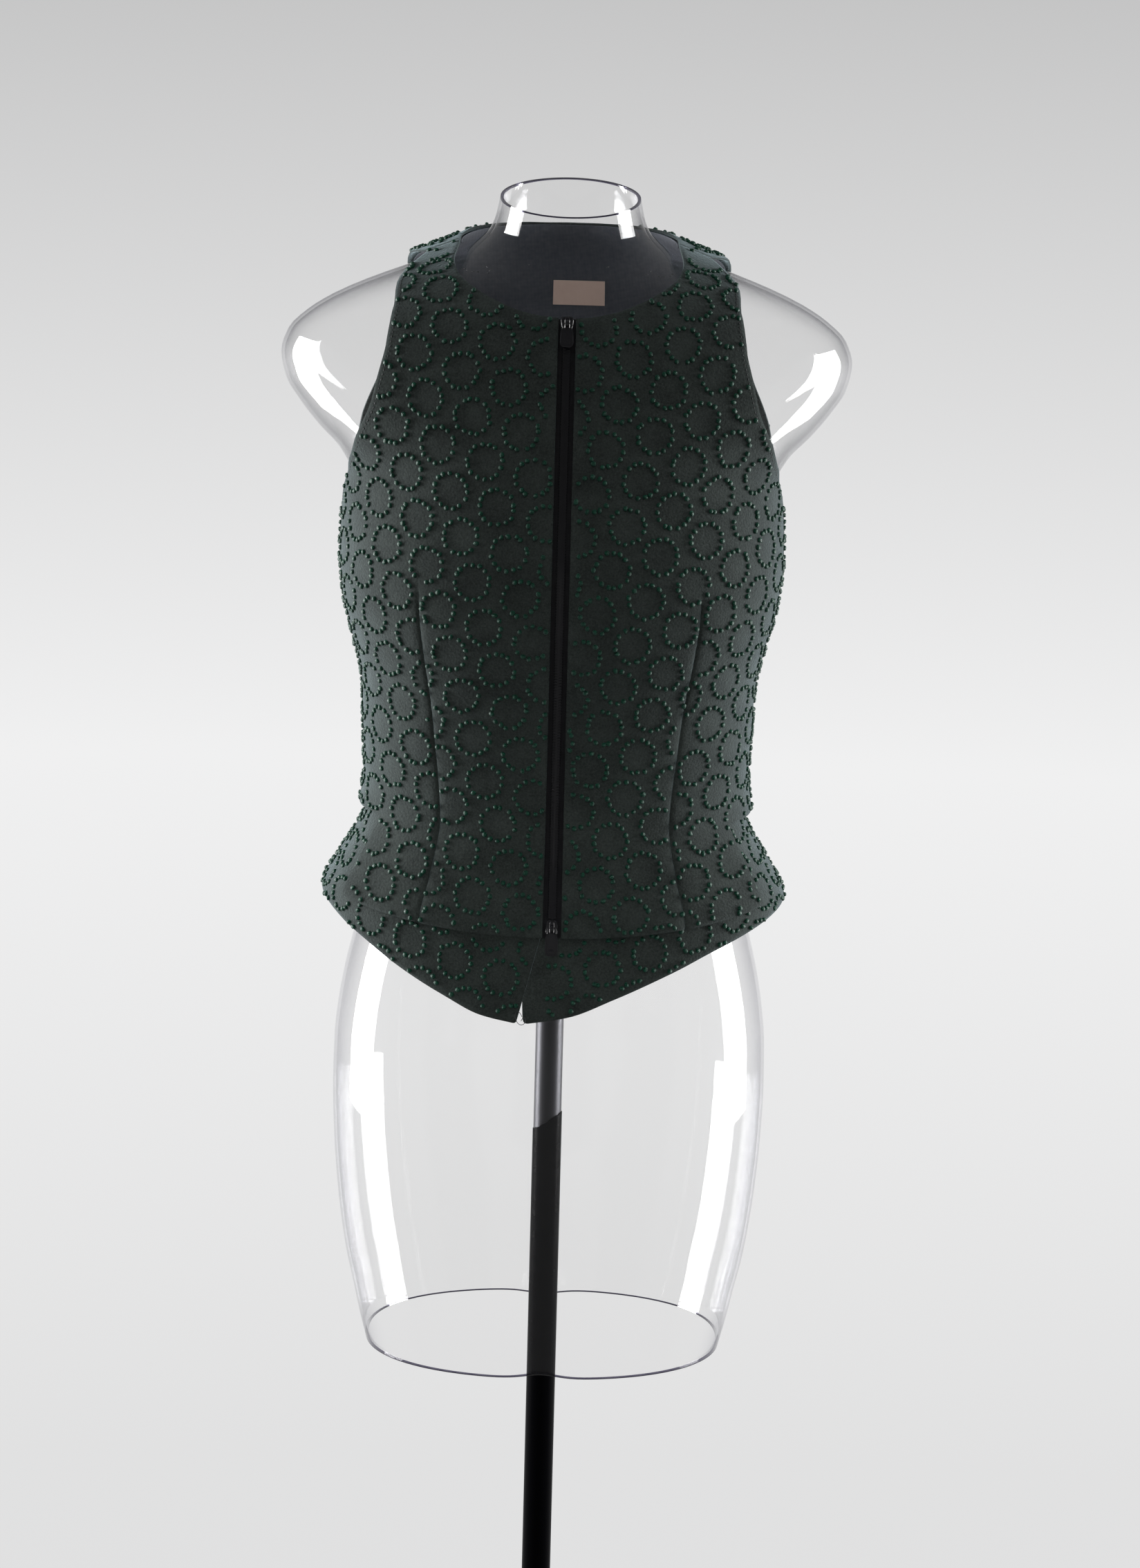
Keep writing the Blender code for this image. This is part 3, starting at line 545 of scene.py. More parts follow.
def scattered(shape, centres, axes, sizes, rough=0.0, seed=1):
    """A shape set down at many centres on their own three axes and half sizes, each a little uneven."""
    points, faces = shape
    local = points[None] * np.asarray(sizes, float).reshape(-1, 1, 3)
    if rough:
        local = local * np.random.default_rng(seed).normal(1.0, rough, (len(centres), len(points), 1))
    placed = centres[:, None] + np.einsum("nki,nij->nkj", local, axes)
    shift = len(points) * np.arange(len(centres))[:, None, None]
    return placed.reshape(-1, 3), [(group + shift).reshape(-1, group.shape[1]) for group in faces]


def joined(parts):
    """Several shapes as one: their points end to end, and their faces renumbered."""
    starts = np.cumsum([0] + [len(points) for points, _ in parts[:-1]])
    faces = [group + start for (_, groups), start in zip(parts, starts) for group in groups]
    return np.concatenate([points for points, _ in parts]), faces


def eased(low, high, at):
    """A smooth step from 0 at low to 1 at high."""
    t = np.clip((at - low) / (high - low), 0, 1)
    return t * t * (3 - 2 * t)


# Finishes

def add(tree, kind, inputs=(), **settings):
    """A node with its settings, each input a value or a socket to link."""
    node = tree.nodes.new(kind)
    for key, value in settings.items():
        setattr(node, key, value)
    for key, value in dict(inputs).items():
        if isinstance(value, bpy.types.NodeSocket):
            tree.links.new(value, node.inputs[key])
        else:
            node.inputs[key].default_value = value
    return node


def finish(name, **inputs):
    """A material with a Principled shader; underscores in the names of inputs stand for spaces."""
    made = bpy.data.materials.new(name)
    made.use_nodes = True
    shader = made.node_tree.nodes["Principled BSDF"]
    for key, value in inputs.items():
        shader.inputs[key.replace("_", " ")].default_value = value
    return made, made.node_tree, shader


def ramp(tree, factor, stops):
    """A colour ramp over a factor, from pairs of place and colour."""
    node = add(tree, "ShaderNodeValToRGB", {"Fac": factor})
    while len(node.color_ramp.elements) < len(stops):
        node.color_ramp.elements.new(1.0)
    for element, (place, colour) in zip(node.color_ramp.elements, stops):
        element.position = place
        element.color = (*colour, 1.0)
    return node.outputs["Color"]


def noise(tree, place, scale, detail=2.0, roughness=0.5, distortion=0.0):
    """Noise at a place."""
    return add(tree, "ShaderNodeTexNoise", {"Vector": place, "Scale": scale, "Detail": detail,
                                            "Roughness": roughness, "Distortion": distortion}).outputs[0]


def mixed(tree, share, first, second):
    """Two values mixed by a share of the second."""
    node = add(tree, "ShaderNodeMix", data_type="FLOAT")
    for socket, value in zip((node.inputs[0], node.inputs[2], node.inputs[3]), (share, first, second)):
        if isinstance(value, bpy.types.NodeSocket):
            tree.links.new(value, socket)
        else:
            socket.default_value = value
    return node.outputs[0]


def object_place(tree):
    """Object coordinates, in metres, as every piece sits at the origin."""
    return add(tree, "ShaderNodeTexCoord").outputs["Object"]


def bumped(tree, shader, height, strength, distance):
    """A bump from a height, on the shader."""
    bump = add(tree, "ShaderNodeBump", {"Height": height, "Strength": strength, "Distance": distance})
    tree.links.new(bump.outputs[0], shader.inputs["Normal"])


def felt(name, dark, light, grain=780.0):
    """Felted wool: a fine mottled grain under faint clouds, with a short pale nap at the edges."""
    made, tree, shader = finish(name, Roughness=0.95, Specular_IOR_Level=0.15, Sheen_Weight=0.35,
                                Sheen_Roughness=0.4, Sheen_Tint=(0.62, 0.8, 0.86, 1.0))
    place = object_place(tree)
    fine = noise(tree, place, grain, 3.0, 0.65, 0.4)
    clouds = noise(tree, place, 38.0, 3.0, 0.6)
    fibres = add(tree, "ShaderNodeTexVoronoi", {"Vector": place, "Scale": grain * 0.65}).outputs[0]
    tone = mixed(tree, 0.35, fine, clouds)
    colour = ramp(tree, tone, ((0.36, dark), (0.64, light)))
    tree.links.new(colour, shader.inputs["Base Color"])
    bumped(tree, shader, mixed(tree, 0.4, fine, fibres), 0.75, 0.6 * MM)
    return made


def yarn():
    """Dark green knotted yarn: twisted, a little glossy."""
    made, tree, shader = finish("knot_yarn", Roughness=0.42, Specular_IOR_Level=0.3)
    place = object_place(tree)
    strands = noise(tree, place, 900.0, 2.0, 0.6, 1.5)
    colour = ramp(tree, strands, ((0.35, (0.0010, 0.013, 0.0075)), (0.68, (0.004, 0.040, 0.023))))
    tree.links.new(colour, shader.inputs["Base Color"])
    bumped(tree, shader, strands, 0.8, 0.5 * MM)
    return made


def woven(name, dark, light, scale, roughness=0.85):
    """Woven tape or cloth: two crossed sets of fine waves."""
    made, tree, shader = finish(name, Roughness=roughness, Specular_IOR_Level=0.25, Sheen_Weight=0.1,
                                Sheen_Roughness=0.4)
    place = object_place(tree)
    waves = [add(tree, "ShaderNodeTexWave", {"Vector": place, "Scale": scale, "Distortion": 0.6},
                 wave_type="BANDS", bands_direction=way).outputs["Fac"] for way in ("X", "Z")]
    weave = mixed(tree, 0.5, *waves)
    tone = mixed(tree, 0.4, weave, noise(tree, place, 260.0, 2.0))
    tree.links.new(ramp(tree, tone, ((0.25, dark), (0.75, light))), shader.inputs["Base Color"])
    bumped(tree, shader, weave, 0.5, 0.25 * MM)
    return made


def polished(name, colour, roughness, metallic=0.0, specular=0.5, worn=0.04, scale=120.0):
    """A hard finish whose roughness is a little uneven."""
    made, tree, shader = finish(name, Base_Color=(*colour, 1.0), Metallic=metallic,
                                Specular_IOR_Level=specular)
    uneven = noise(tree, object_place(tree), scale, 3.0)
    node = add(tree, "ShaderNodeMapRange", {"Value": uneven, "To Min": roughness - worn,
                                            "To Max": roughness + worn})
    tree.links.new(node.outputs[0], shader.inputs["Roughness"])
    return made


def clear(name, through, edge, floor=0.04):
    """Clear plastic: seen through, with painted shade where it turns away, and a mirror's share that grows
    there.

    The mirror's share is floor plus the rest times the fifth power of how far the face turns away.
    """
    made, tree, shader = finish(name, Base_Color=(1.0, 1.0, 1.0, 1.0), Metallic=1.0, Roughness=0.03)
    away = add(tree, "ShaderNodeLayerWeight", {"Blend": 0.5}).outputs["Facing"]
    fifth = add(tree, "ShaderNodeMath", {0: away, 1: 5.0}, operation="POWER").outputs[0]
    share = add(tree, "ShaderNodeMapRange", {"Value": fifth, "To Min": floor, "To Max": 1.0}).outputs[0]
    # Painted shade: the see-through colour falls from through to edge as the face turns away, standing in
    # for dark surroundings mirrored along the edges.
    painted_edge_shade = ramp(tree, fifth, ((0.0, through), (1.0, edge)))
    glass = add(tree, "ShaderNodeBsdfTransparent", {"Color": painted_edge_shade})
    mix = add(tree, "ShaderNodeMixShader", {0: share, 1: glass.outputs[0], 2: shader.outputs[0]})
    output = next(node for node in tree.nodes if node.type == "OUTPUT_MATERIAL")
    tree.links.new(mix.outputs[0], output.inputs["Surface"])
    smears = noise(tree, object_place(tree), 14.0, 2.0)
    rough = add(tree, "ShaderNodeMapRange", {"Value": smears, "To Min": 0.015, "To Max": 0.045})
    tree.links.new(rough.outputs[0], shader.inputs["Roughness"])
    return made


# The cloth's grids

def spread(start, end, share):
    """Rows of values that go from start to end by the shares, for arrays start and end."""
    return start[:, None] + (end - start)[:, None] * share[None, :]


def front_edge_angle(level):
    """The angle of a front's edge beside the zip."""
    return angle_at(FRONT_EDGE_X, level)


def back_edge_angle(level):
    """The angle of the centre back."""
    return np.full(np.shape(level), 180.0)


def yoke_grid(centre_angle, centre_top, armhole, neck_share, shares, steps):
    """Levels and angles above the underarm: four edges, blended between.

    The edges are the underarm row, the centre edge, the armhole, and the neckline that goes on as
    the shoulder seam. The top edge's bend fades out downwards. Steps are shares of the way up.
    """
    edge_level = smooth_column(ARMHOLE_POINTS, ARMHOLE_COLUMNS, "level", "way", steps) * MM
    edge_angle = smooth_column(ARMHOLE_POINTS, ARMHOLE_COLUMNS, armhole, "way", steps)
    centre_level = UNDERARM + (centre_top - UNDERARM) * steps
    centre = centre_angle(centre_level)
    level = spread(centre_level, edge_level, shares)
    angle = spread(centre, edge_angle, shares)
    along_neck = np.clip(shares / neck_share, 0, 1)
    along_shoulder = np.clip((shares - neck_share) / (1 - neck_share), 0, 1)
    seam = SHOULDER_SEAM if armhole == "back" else -SHOULDER_SEAM
    top_angle = centre[-1] + (SHOULDER_ANGLE + seam - centre[-1]) * along_neck
    climb = np.abs(np.sin(np.radians(top_angle))) ** NECK_SCOOP
    top_level = centre_top + (SIDE_NECK - centre_top) * climb
    top_level = top_level + (SHOULDER_TIP - SIDE_NECK) * along_shoulder
    fade = steps[:, None] ** NECK_BEND_FADE
    return (level + fade * (top_level - level[-1])[None, :],
            angle + fade * (top_angle - angle[-1])[None, :])


def low_levels(hem):
    """Levels from a hem, given for each column, up the skirt to the waist and on to the underarm."""
    skirt = hem[None, :] + (WAIST - hem)[None, :] * SKIRT_RISE[:, None]
    bodice = WAIST + (UNDERARM - WAIST) * np.linspace(0, 1, BODICE_ROWS + 1)[:-1]
    return np.concatenate([skirt, np.repeat(bodice[:, None], len(hem), 1)])


def front_grid(shares):
    """Levels and angles of one front, from the zip to the side seam, hem to shoulder."""
    low_level = low_levels(front_hem(shares))
    centre = front_edge_angle(low_level[:, 0])
    low_angle = spread(centre, np.full(len(centre), 90.0), shares)
    high_level, high_angle = yoke_grid(front_edge_angle, FRONT_NECK, "front", SLASH_SHARE, shares,
                                       YOKE_STEPS)
    level = np.concatenate([low_level, high_level])
    angle = np.concatenate([low_angle, high_angle])
    angle[:, -1] -= seam_angle(SIDE_SEAM_RADIUS)
    return level, angle


def back_grid(shares):
    """Levels and angles of one back, from the centre back to the side seam, hem to shoulder."""
    low_level = low_levels(BACK_HEM_SIDE - BACK_HEM_DROP * np.cos(np.radians(90 * shares)) ** 2)
    centre = back_edge_angle(low_level[:, 0])
    low_angle = spread(centre, np.full(len(centre), 90.0), shares)
    high_level, high_angle = yoke_grid(back_edge_angle, SIDE_NECK, "back", BACK_NECK_SHARE, shares,
                                       YOKE_STEPS)
    level = np.concatenate([low_level, high_level])
    angle = np.concatenate([low_angle, high_angle])
    angle[:, -1] += seam_angle(SIDE_SEAM_RADIUS)
    angle[:, 0] -= seam_angle(BACK_SEAM_RADIUS)
    return level, angle


def slit_x(level):
    """Where the under skirt's opening runs: straight down behind the zip, then slanting away."""
    down = np.clip((SLIT_START - level) / (SLIT_START - SKIRT_HEM_POINTS[0][1] * MM), 0, 1)
    return SLIT_TOP_X + (SLIT_HEM_X - SLIT_TOP_X) * down


def under_grid(shares, hand):
    """Levels and angles of one half of the under skirt, its lower front corner rounded off.

    The corner lifts the hem by a quarter circle over the last CORNER metres before the opening, and
    the left half parts evenly from the right below SLIT_PART_LEVEL, by SLIT_GAPE at the hem.
    """
    hem = smooth_column(SKIRT_HEM_POINTS, SKIRT_HEM_COLUMNS, "level", "angle", 90 * shares) * MM
    away = np.clip(shares * UNDER_SPAN / CORNER, 0, 1)
    hem = hem + CORNER * (1 - np.sqrt(1 - (1 - away) ** 2))
    top = WAIST - UNDER_WAIST_GAP
    level = hem[None, :] + (top - hem)[None, :] * UNDER_RISE[:, None]
    edge = slit_x(level[:, 0])
    if hand > 0:
        low = SKIRT_HEM_POINTS[0][1] * MM
        part = np.clip((SLIT_PART_LEVEL - level[:, 0]) / (SLIT_PART_LEVEL - low), 0, 1)
        edge = edge - SLIT_LAP + SLIT_GAPE * part
    start = angle_at(hand * edge, level[:, 0])
    return level, spread(start, np.full(len(start), 90.0 - seam_angle(SIDE_SEAM_RADIUS)), shares)


def lengths(points, axis):
    """The length run along a grid of points in one direction."""
    step = np.linalg.norm(np.diff(points, axis=axis), axis=-1)
    shape = list(step.shape)
    shape[axis] = 1
    return np.concatenate([np.zeros(shape), np.cumsum(step, axis=axis)], axis=axis)


def rounding(points):
    """How far the felt's faces draw in at its four edges: EDGE_ROUND, falling as a bell inwards."""
    total = np.zeros(points.shape[:2])
    for axis in (0, 1):
        run = lengths(points, axis)
        whole = run.max(axis=axis, keepdims=True)
        total = total + np.exp(-(run / EDGE_SOFT) ** 2) + np.exp(-((whole - run) / EDGE_SOFT) ** 2)
    return EDGE_ROUND * np.minimum(total, 1.0)


def waves(level, angle):
    """The cloth's slow unevenness: a sum of three slanting sines, in metres."""
    turn = np.radians(angle)
    return WAVE * (np.sin(5 * turn + 60 * level) + np.sin(11 * turn - 95 * level)
                   + np.sin(17 * turn + 170 * level))


def cloth(name, hand, level, angle, depth, wall, finishes, slot, keep=None, relief=0.0, bend=waves):
    """A wall of cloth between two depths under the coat's outside, at each place of its grid.

    The outer depth is depth plus relief and the inner one depth plus wall, both less the bend, and
    both drawn in at the edges by the rounding. Keep marks the cells that are there.
    """
    level, depth, relief = (np.broadcast_to(x, angle.shape) for x in (level, depth, relief))
    shift = depth - bend(level, hand * angle)
    soft = rounding(coat_point(level, angle))
    soft = np.minimum(soft, wall * 0.3)
    sheets = [level, hand * angle, shift + relief + soft, shift + wall - soft]
    keep = None if keep is None else keep.copy()
    if sheets[1][0, -1] < sheets[1][0, 0]:
        sheets = [sheet[:, ::-1] for sheet in sheets]
        keep = None if keep is None else keep[:, ::-1]
    level, angle, high, low = sheets
    points, faces, _ = closed_wall(coat_inside(level, angle, high), coat_inside(level, angle, low), keep)
    return new_piece(name, points, faces, finishes, slot, sharp=50)


# The rings of knots

class Chart:
    """Lengths over half the coat, from the centre front: across at each level, and up from the waist."""

    def __init__(self):
        """Lengths u and v from the front and the waist, back from the centre back, and their slopes."""
        self.level = np.arange(*CHART_LEVELS, CHART_RISE)
        self.angle = np.arange(*CHART_ANGLES, CHART_TURN)
        level, angle = np.meshgrid(self.level, self.angle, indexing="ij")
        points = coat_point(level, angle)
        across, up = lengths(points, 1), lengths(points, 0)
        zero = np.searchsorted(self.angle, 0.0)
        waist = np.searchsorted(self.level, WAIST)
        self.tables = {"u": across - across[:, zero:zero + 1], "v": up - up[waist:waist + 1],
                       "du": np.gradient(across, self.angle, axis=1),
                       "dv": np.gradient(up, self.level, axis=0)}
        end = np.searchsorted(self.angle, 180.0)
        self.tables["back"] = across[:, end:end + 1] - across

    def read(self, name, level, angle):
        """A table between its four nearest values, by their shares."""
        table = self.tables[name]
        i = np.clip((level - self.level[0]) / CHART_RISE, 0, len(self.level) - 1.001)
        j = np.clip((angle - self.angle[0]) / CHART_TURN, 0, len(self.angle) - 1.001)
        a, b = i.astype(int), j.astype(int)
        s, t = i - a, j - b
        low = table[a, b] * (1 - t) + table[a, b + 1] * t
        return low * (1 - s) + (table[a + 1, b] * (1 - t) + table[a + 1, b + 1] * t) * s

    def place(self, u, v, across="u", shift=None):
        """The level and angle of lengths u and v, by Newton's steps. Shift adds to u by the level."""
        way = 1.0 if across == "u" else -1.0
        level = WAIST + 0.95 * v
        angle = np.full(len(u), 45.0 if across == "u" else 135.0)
        for _ in range(30):
            gap = u - self.read(across, level, angle) - (0.0 if shift is None else shift(level))
            level = level + 0.8 * (v - self.read("v", level, angle)) / self.read("dv", level, angle)
            angle = angle + 0.8 * way * gap / self.read("du", level, angle)
            level = np.clip(level, self.level[0], self.level[-1])
            angle = np.clip(angle, self.angle[0], self.angle[-1])
        return level, angle


def chart_line(chart, level, angle, across="u"):
    """Places as lengths: pairs of across and v."""
    return np.stack([chart.read(name, level, angle) for name in (across, "v")], axis=-1)


def outline_of(chart, level, angle, across="u", corner=None):
    """The edge of a piece's grid as lengths, all round. A corner (row, column) is left out of it."""
    rows, columns = level.shape
    r, c = (0, columns - 1) if corner is None else corner
    path = ([(0, j) for j in range(c)] + [(i, c) for i in range(r)]
            + [(r, j) for j in range(c, columns - 1)] + [(i, columns - 1) for i in range(r, rows - 1)]
            + [(rows - 1, j) for j in range(columns - 1, 0, -1)] + [(i, 0) for i in range(rows - 1, 0, -1)])
    i, j = np.array(path).T
    return chart_line(chart, level[i, j], angle[i, j], across)


def within(points, outline, margin):
    """Which points lie inside an outline by a margin: an odd count of crossings, and off each side."""
    start, end = outline, np.roll(outline, -1, axis=0)
    x, y = points[:, :1], points[:, 1:]
    spans = (start[:, 1] > y) != (end[:, 1] > y)
    rise = np.where(end[:, 1] == start[:, 1], 1.0, end[:, 1] - start[:, 1])
    cross = start[:, 0] + (y - start[:, 1]) / rise * (end[:, 0] - start[:, 0])
    inside = (spans & (x < cross)).sum(axis=1) % 2 == 1
    side = end - start
    length = np.maximum((side ** 2).sum(axis=1), 1e-12)
    share = np.clip(((x - start[:, 0]) * side[:, 0] + (y - start[:, 1]) * side[:, 1]) / length, 0, 1)
    gap = np.hypot(x - start[:, 0] - share * side[:, 0], y - start[:, 1] - share * side[:, 1])
    return inside & (gap.min(axis=1) > margin)


def ring_knots(anchor, seed):
    """Knots in rings on a slanting lattice: places (u, v), each ring RING_KNOTS knots round its centre."""
    rng = np.random.default_rng(seed)
    i, j = np.meshgrid(np.arange(-22, 23), np.arange(-16, 17), indexing="ij")
    centres = np.array(anchor) + i.reshape(-1, 1) * LATTICE_DOWN + j.reshape(-1, 1) * LATTICE_ACROSS
    centres = centres + rng.normal(0, 0.25 * MM, centres.shape)
    turn = TAU * (np.arange(RING_KNOTS) + rng.uniform(0, 1, (len(centres), 1))) / RING_KNOTS
    turn = turn + rng.normal(0, 0.05, turn.shape)
    radius = RING_RADIUS + rng.normal(0, RING_UNEVEN, turn.shape)
    knots = centres[:, None] + np.stack([radius * np.cos(turn), radius * np.sin(turn)], -1)
    return knots.reshape(-1, 2)


def knotted(name, hand, chart, anchor, outline, depth, finish, seed, across="u", cut=None, shift=None):
    """Knots of yarn on a piece, set where the rings of its lattice fall inside its outline.

    A knot is left out where the chart has no such place, where cut says no, and within KNOT_MARGIN
    of the outline.
    """
    knots = ring_knots((anchor[0], float(chart.read("v", np.array(anchor[1]), np.array(20.0)))), seed)
    level, angle = chart.place(knots[:, 0], knots[:, 1], across, shift)
    here = chart_line(chart, level, angle, across)
    wanted = knots if shift is None else np.stack([knots[:, 0] - shift(level), knots[:, 1]], -1)
    good = within(here, outline, KNOT_MARGIN) & (np.abs(here - wanted).max(axis=1) < 0.5 * MM)
    if cut is not None:
        good &= cut(level, angle, here)
    level, angle = level[good], angle[good]
    depth = depth(level, angle) if callable(depth) else depth
    return knots_at(name, hand, level, angle, depth, finish, seed)


def knots_at(name, hand, level, angle, depth, finish, seed):
    """Knots of yarn at levels and angles: uneven balls, half sunk in the felt.

    Each is turned at random about the cloth's normal, and its three half sizes vary a little.
    """
    angle = hand * angle
    rng = np.random.default_rng(seed + 50)
    normal = normal_of(coat_point, level, angle)
    spin = rng.normal(size=normal.shape)
    first = unit(np.cross(normal, spin))
    axes = np.stack([first, np.cross(normal, first), normal], axis=1)
    size = KNOT_HALF * rng.normal(1.0, KNOT_UNEVEN, (len(level), 3)) * KNOT_SHAPE
    centre = coat_inside(level, angle, depth - waves(level, angle) - KNOT_SUNK)
    points, faces = scattered(bead_shape(8, 5), centre, axes, size, KNOT_UNEVEN, seed)
    return new_piece(name, points, faces, [finish], "wool", sharp=180)


def armhole_stitches(name, hand, chart, level, angle, finish, across="u"):
    """Short stitches beside a piece's armhole, as small ellipsoids at even lengths.

    Their line is the side edge of the rows above the underarm, moved in by STITCH_INSET.
    """
    rows = np.arange(SKIRT_ROWS + BODICE_ROWS, len(level))
    line = chart_line(chart, level[rows, -1], angle[rows, -1], across)
    run = np.concatenate([[0], np.cumsum(np.linalg.norm(np.diff(line, axis=0), axis=1))])
    at = np.arange(STITCH_PITCH, run[-1] - STITCH_PITCH, STITCH_PITCH)
    place = np.stack([np.interp(at, run, line[:, k]) for k in (0, 1)], axis=-1)
    along = unit(np.gradient(place, axis=0))
    place = place + np.stack([-along[:, 1], along[:, 0]], axis=-1) * STITCH_INSET
    level, angle = chart.place(place[:, 0], place[:, 1], across)
    angle = hand * angle
    centre = coat_inside(level, angle, STITCH_SUNK - waves(level, angle))
    normal = normal_of(coat_point, level, angle)
    forward = np.gradient(centre, axis=0)
    forward = unit(forward - normal * (forward * normal).sum(axis=1, keepdims=True))
    axes = np.stack([forward, np.cross(normal, forward), normal], axis=1)
    size = np.repeat([STITCH_SIZE], len(centre), axis=0)
    points, faces = scattered(bead_shape(6, 4), centre, axes, size)
    return new_piece(name, points, faces, [finish], "wool", sharp=180)


# The waistcoat


def dart_relief(level, angle):
    """The front's dart: a fine groove along one column, drawn in at both sides, with small puckers.

    Depth is a narrow bell plus a wide one of the distance from the dart; the puckers are sines up
    the dart that fade out within 8 mm of it.
    """
    run = lengths(coat_point(level, angle), 1)
    dart = int(np.argmin(np.abs(FRONT_COLUMNS - DART_SHARE)))
    off = run - run[:, dart:dart + 1]
    below = eased(0, 0.02, DART_TOP - level)
    groove = DART_DEEP * np.exp(-(off / DART_NARROW) ** 2) + DART_SOFT * np.exp(-(off / DART_WIDE) ** 2)
    pucker = PUCKER * np.sin(TAU * (level + 0.15 * off) / PUCKER_PITCH) * np.exp(-(off / PUCKER_WIDE) ** 2)
    return below * (groove + pucker)


def front_share(level, angle):
    """The share of the way from a front's zip edge to its side seam."""
    centre = front_edge_angle(level)
    return (angle - centre) / (90 - centre)


def front_hem(share):
    """The level of the front skirt's hem: it rises by the square of the share up to the slash."""
    return FRONT_HEM_CENTRE + FRONT_HEM_RISE * (share / SLASH_SHARE) ** 2


def past_dart(chart, level, u):
    """Whether a place is on the side part, beyond the dart, and how far it is from the dart."""
    centre = front_edge_angle(level)
    dart = chart.read("u", level, centre + (90 - centre) * DART_SHARE)
    return u > dart, np.abs(u - dart)


def intake(level):
    """How much cloth the dart takes in at a level."""
    return DART_INTAKE * np.maximum(DART_TOP - np.maximum(level, WAIST), 0.0)


def lifted(level, angle):
    """How far the felt stands off at the front skirt's side corners, and along the waist's free edge.

    The corner's is a bell of the share from the slash, eased in down from the waist. The waist's is
    a bell of the height above it, eased in beyond the slash and out again towards the back.
    """
    off = front_share(level, angle) - SLASH_SHARE
    corner = np.exp(-(off / LIFT_SHARE) ** 2) * eased(WAIST, WAIST - 0.035, level)
    edge = np.exp(-((level - WAIST) / LIFT_RISE) ** 2) * (level >= WAIST)
    edge = edge * eased(65, 78, angle) * eased(TUCK_END_ANGLE, TUCK_FULL_ANGLE, angle)
    return LIFT * (corner + edge)


def sunk(level, angle):
    """The depth of a front's outside under the coat's."""
    return -lifted(level, angle)


def front(side, hand, chart, anchor, wool, knot, thread):
    """One front with its knots and the stitches of its armhole.

    Its grid lacks the cells below the waist and beyond the slash. The knots beyond the dart are
    moved by the cloth that the dart takes in.
    """
    level, angle = front_grid(FRONT_COLUMNS)
    keep = np.ones((level.shape[0] - 1, level.shape[1] - 1), bool)
    slash = int(np.argmin(np.abs(FRONT_COLUMNS - SLASH_SHARE)))
    keep[:SKIRT_ROWS, slash:] = False
    made = cloth("wool_front_" + side, hand, level, angle, 0.0, CLOTH, [wool], "wool", keep,
                 dart_relief(level, angle) - lifted(level, angle))
    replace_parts(made, "front_" + side)
    edge = outline_of(chart, level, angle, corner=(SKIRT_ROWS, slash))

    def centre_part(at, _, here):
        """Places above the dart, or between it and the zip."""
        beyond, off = past_dart(chart, at, here[:, 0])
        return (~beyond | (at > DART_TOP)) & ((off > DART_CLEAR) | (at > DART_TOP))

    def side_part(at, _, here):
        """Places between the dart and the side seam."""
        beyond, off = past_dart(chart, at, here[:, 0])
        return beyond & (at <= DART_TOP) & (off > DART_CLEAR)

    seed = 20 + hand
    knots = [knotted("knots_front_" + side, hand, chart, anchor, edge, sunk, knot, seed, cut=centre_part),
             knotted("knots_side_" + side, hand, chart, anchor, edge, sunk, knot, seed, cut=side_part,
                     shift=intake)]
    knots.append(armhole_stitches("stitches_front_" + side, hand, chart, level, angle, thread))


def tuck(level, angle):
    """How deep the back goes in under the waist seam, beside the under skirt."""
    near_side = eased(0, 1, (TUCK_END_ANGLE - angle) / (TUCK_END_ANGLE - TUCK_FULL_ANGLE))
    return np.where(level < WAIST, SKIRT_DEPTH * near_side, -lifted(level, angle))


def back(side, hand, chart, anchor, wool, knot, thread):
    """One back, tucked in under the waist beside the under skirt, with its knots and stitches."""
    level, angle = back_grid(BACK_COLUMNS)
    made = cloth("wool_back_" + side, hand, level, angle, tuck(level, angle), CLOTH, [wool], "wool")
    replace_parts(made, "back_" + side)
    edge = outline_of(chart, level, angle, "back")

    def plain(at, turn, _):
        """Places clear of the waist's step."""
        return (at > WAIST + 1.8 * MM) | (turn > TUCK_END_ANGLE) | (at < WAIST - 2.6 * MM)

    knots = [knotted("knots_back_" + side, hand, chart, anchor, edge, tuck, knot, 30 + hand, "back",
                     plain),
             armhole_stitches("stitches_back_" + side, hand, chart, level, angle, thread, "back")]


def turned_back(level, angle):
    """How much of the left under skirt's slanting strip a place is on: 1 inside its crease, else 0."""
    x = np.sin(np.radians(angle)) * (form_ring("front", level) * MM + stand_off("ease", level) + CLOTH)
    crease = CREASE_TOP_X + (CREASE_HEM_X - CREASE_TOP_X) * (CREASE_TOP - level) / CREASE_TALL
    return eased(0.8 * MM, -0.8 * MM, x - crease) * eased(CREASE_TOP, CREASE_TOP - 4 * MM, level)


def under_skirt(side, hand, chart, anchor, wool, knot):
    """One half of the longer under skirt. The left one's opening edge is turned back in a strip."""
    level, angle = under_grid(UNDER_COLUMNS, hand)
    relief = -STRIP * turned_back(level, angle) if hand > 0 else 0.0
    made = cloth("wool_skirt_" + side, hand, level, angle, SKIRT_DEPTH, CLOTH, [wool], "wool",
                 relief=relief)
    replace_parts(made, "under_skirt_" + side)
    edge = outline_of(chart, level, angle)

    def seen(at, turn, _):
        """Places that neither the front skirt nor the turned-back strip covers."""
        share = front_share(at, turn)
        covered = (share < SLASH_SHARE + 0.004) & (at > front_hem(share) - 1.5 * MM)
        return ~covered & ((turned_back(at, turn) < 0.1) | (hand < 0))

    knots = knotted("knots_skirt_" + side, hand, chart, anchor, edge, SKIRT_DEPTH, knot, 40 + hand,
                    cut=seen)


# The zip

def strip(xs, levels, depth, wall):
    """A wall up the centre front, between levels, through places at distances from the middle."""
    level = np.repeat(levels[:, None], len(xs), 1)
    angle = angle_at(xs[None, :], level)
    return closed_wall(coat_inside(level, angle, depth), coat_inside(level, angle, depth + wall))


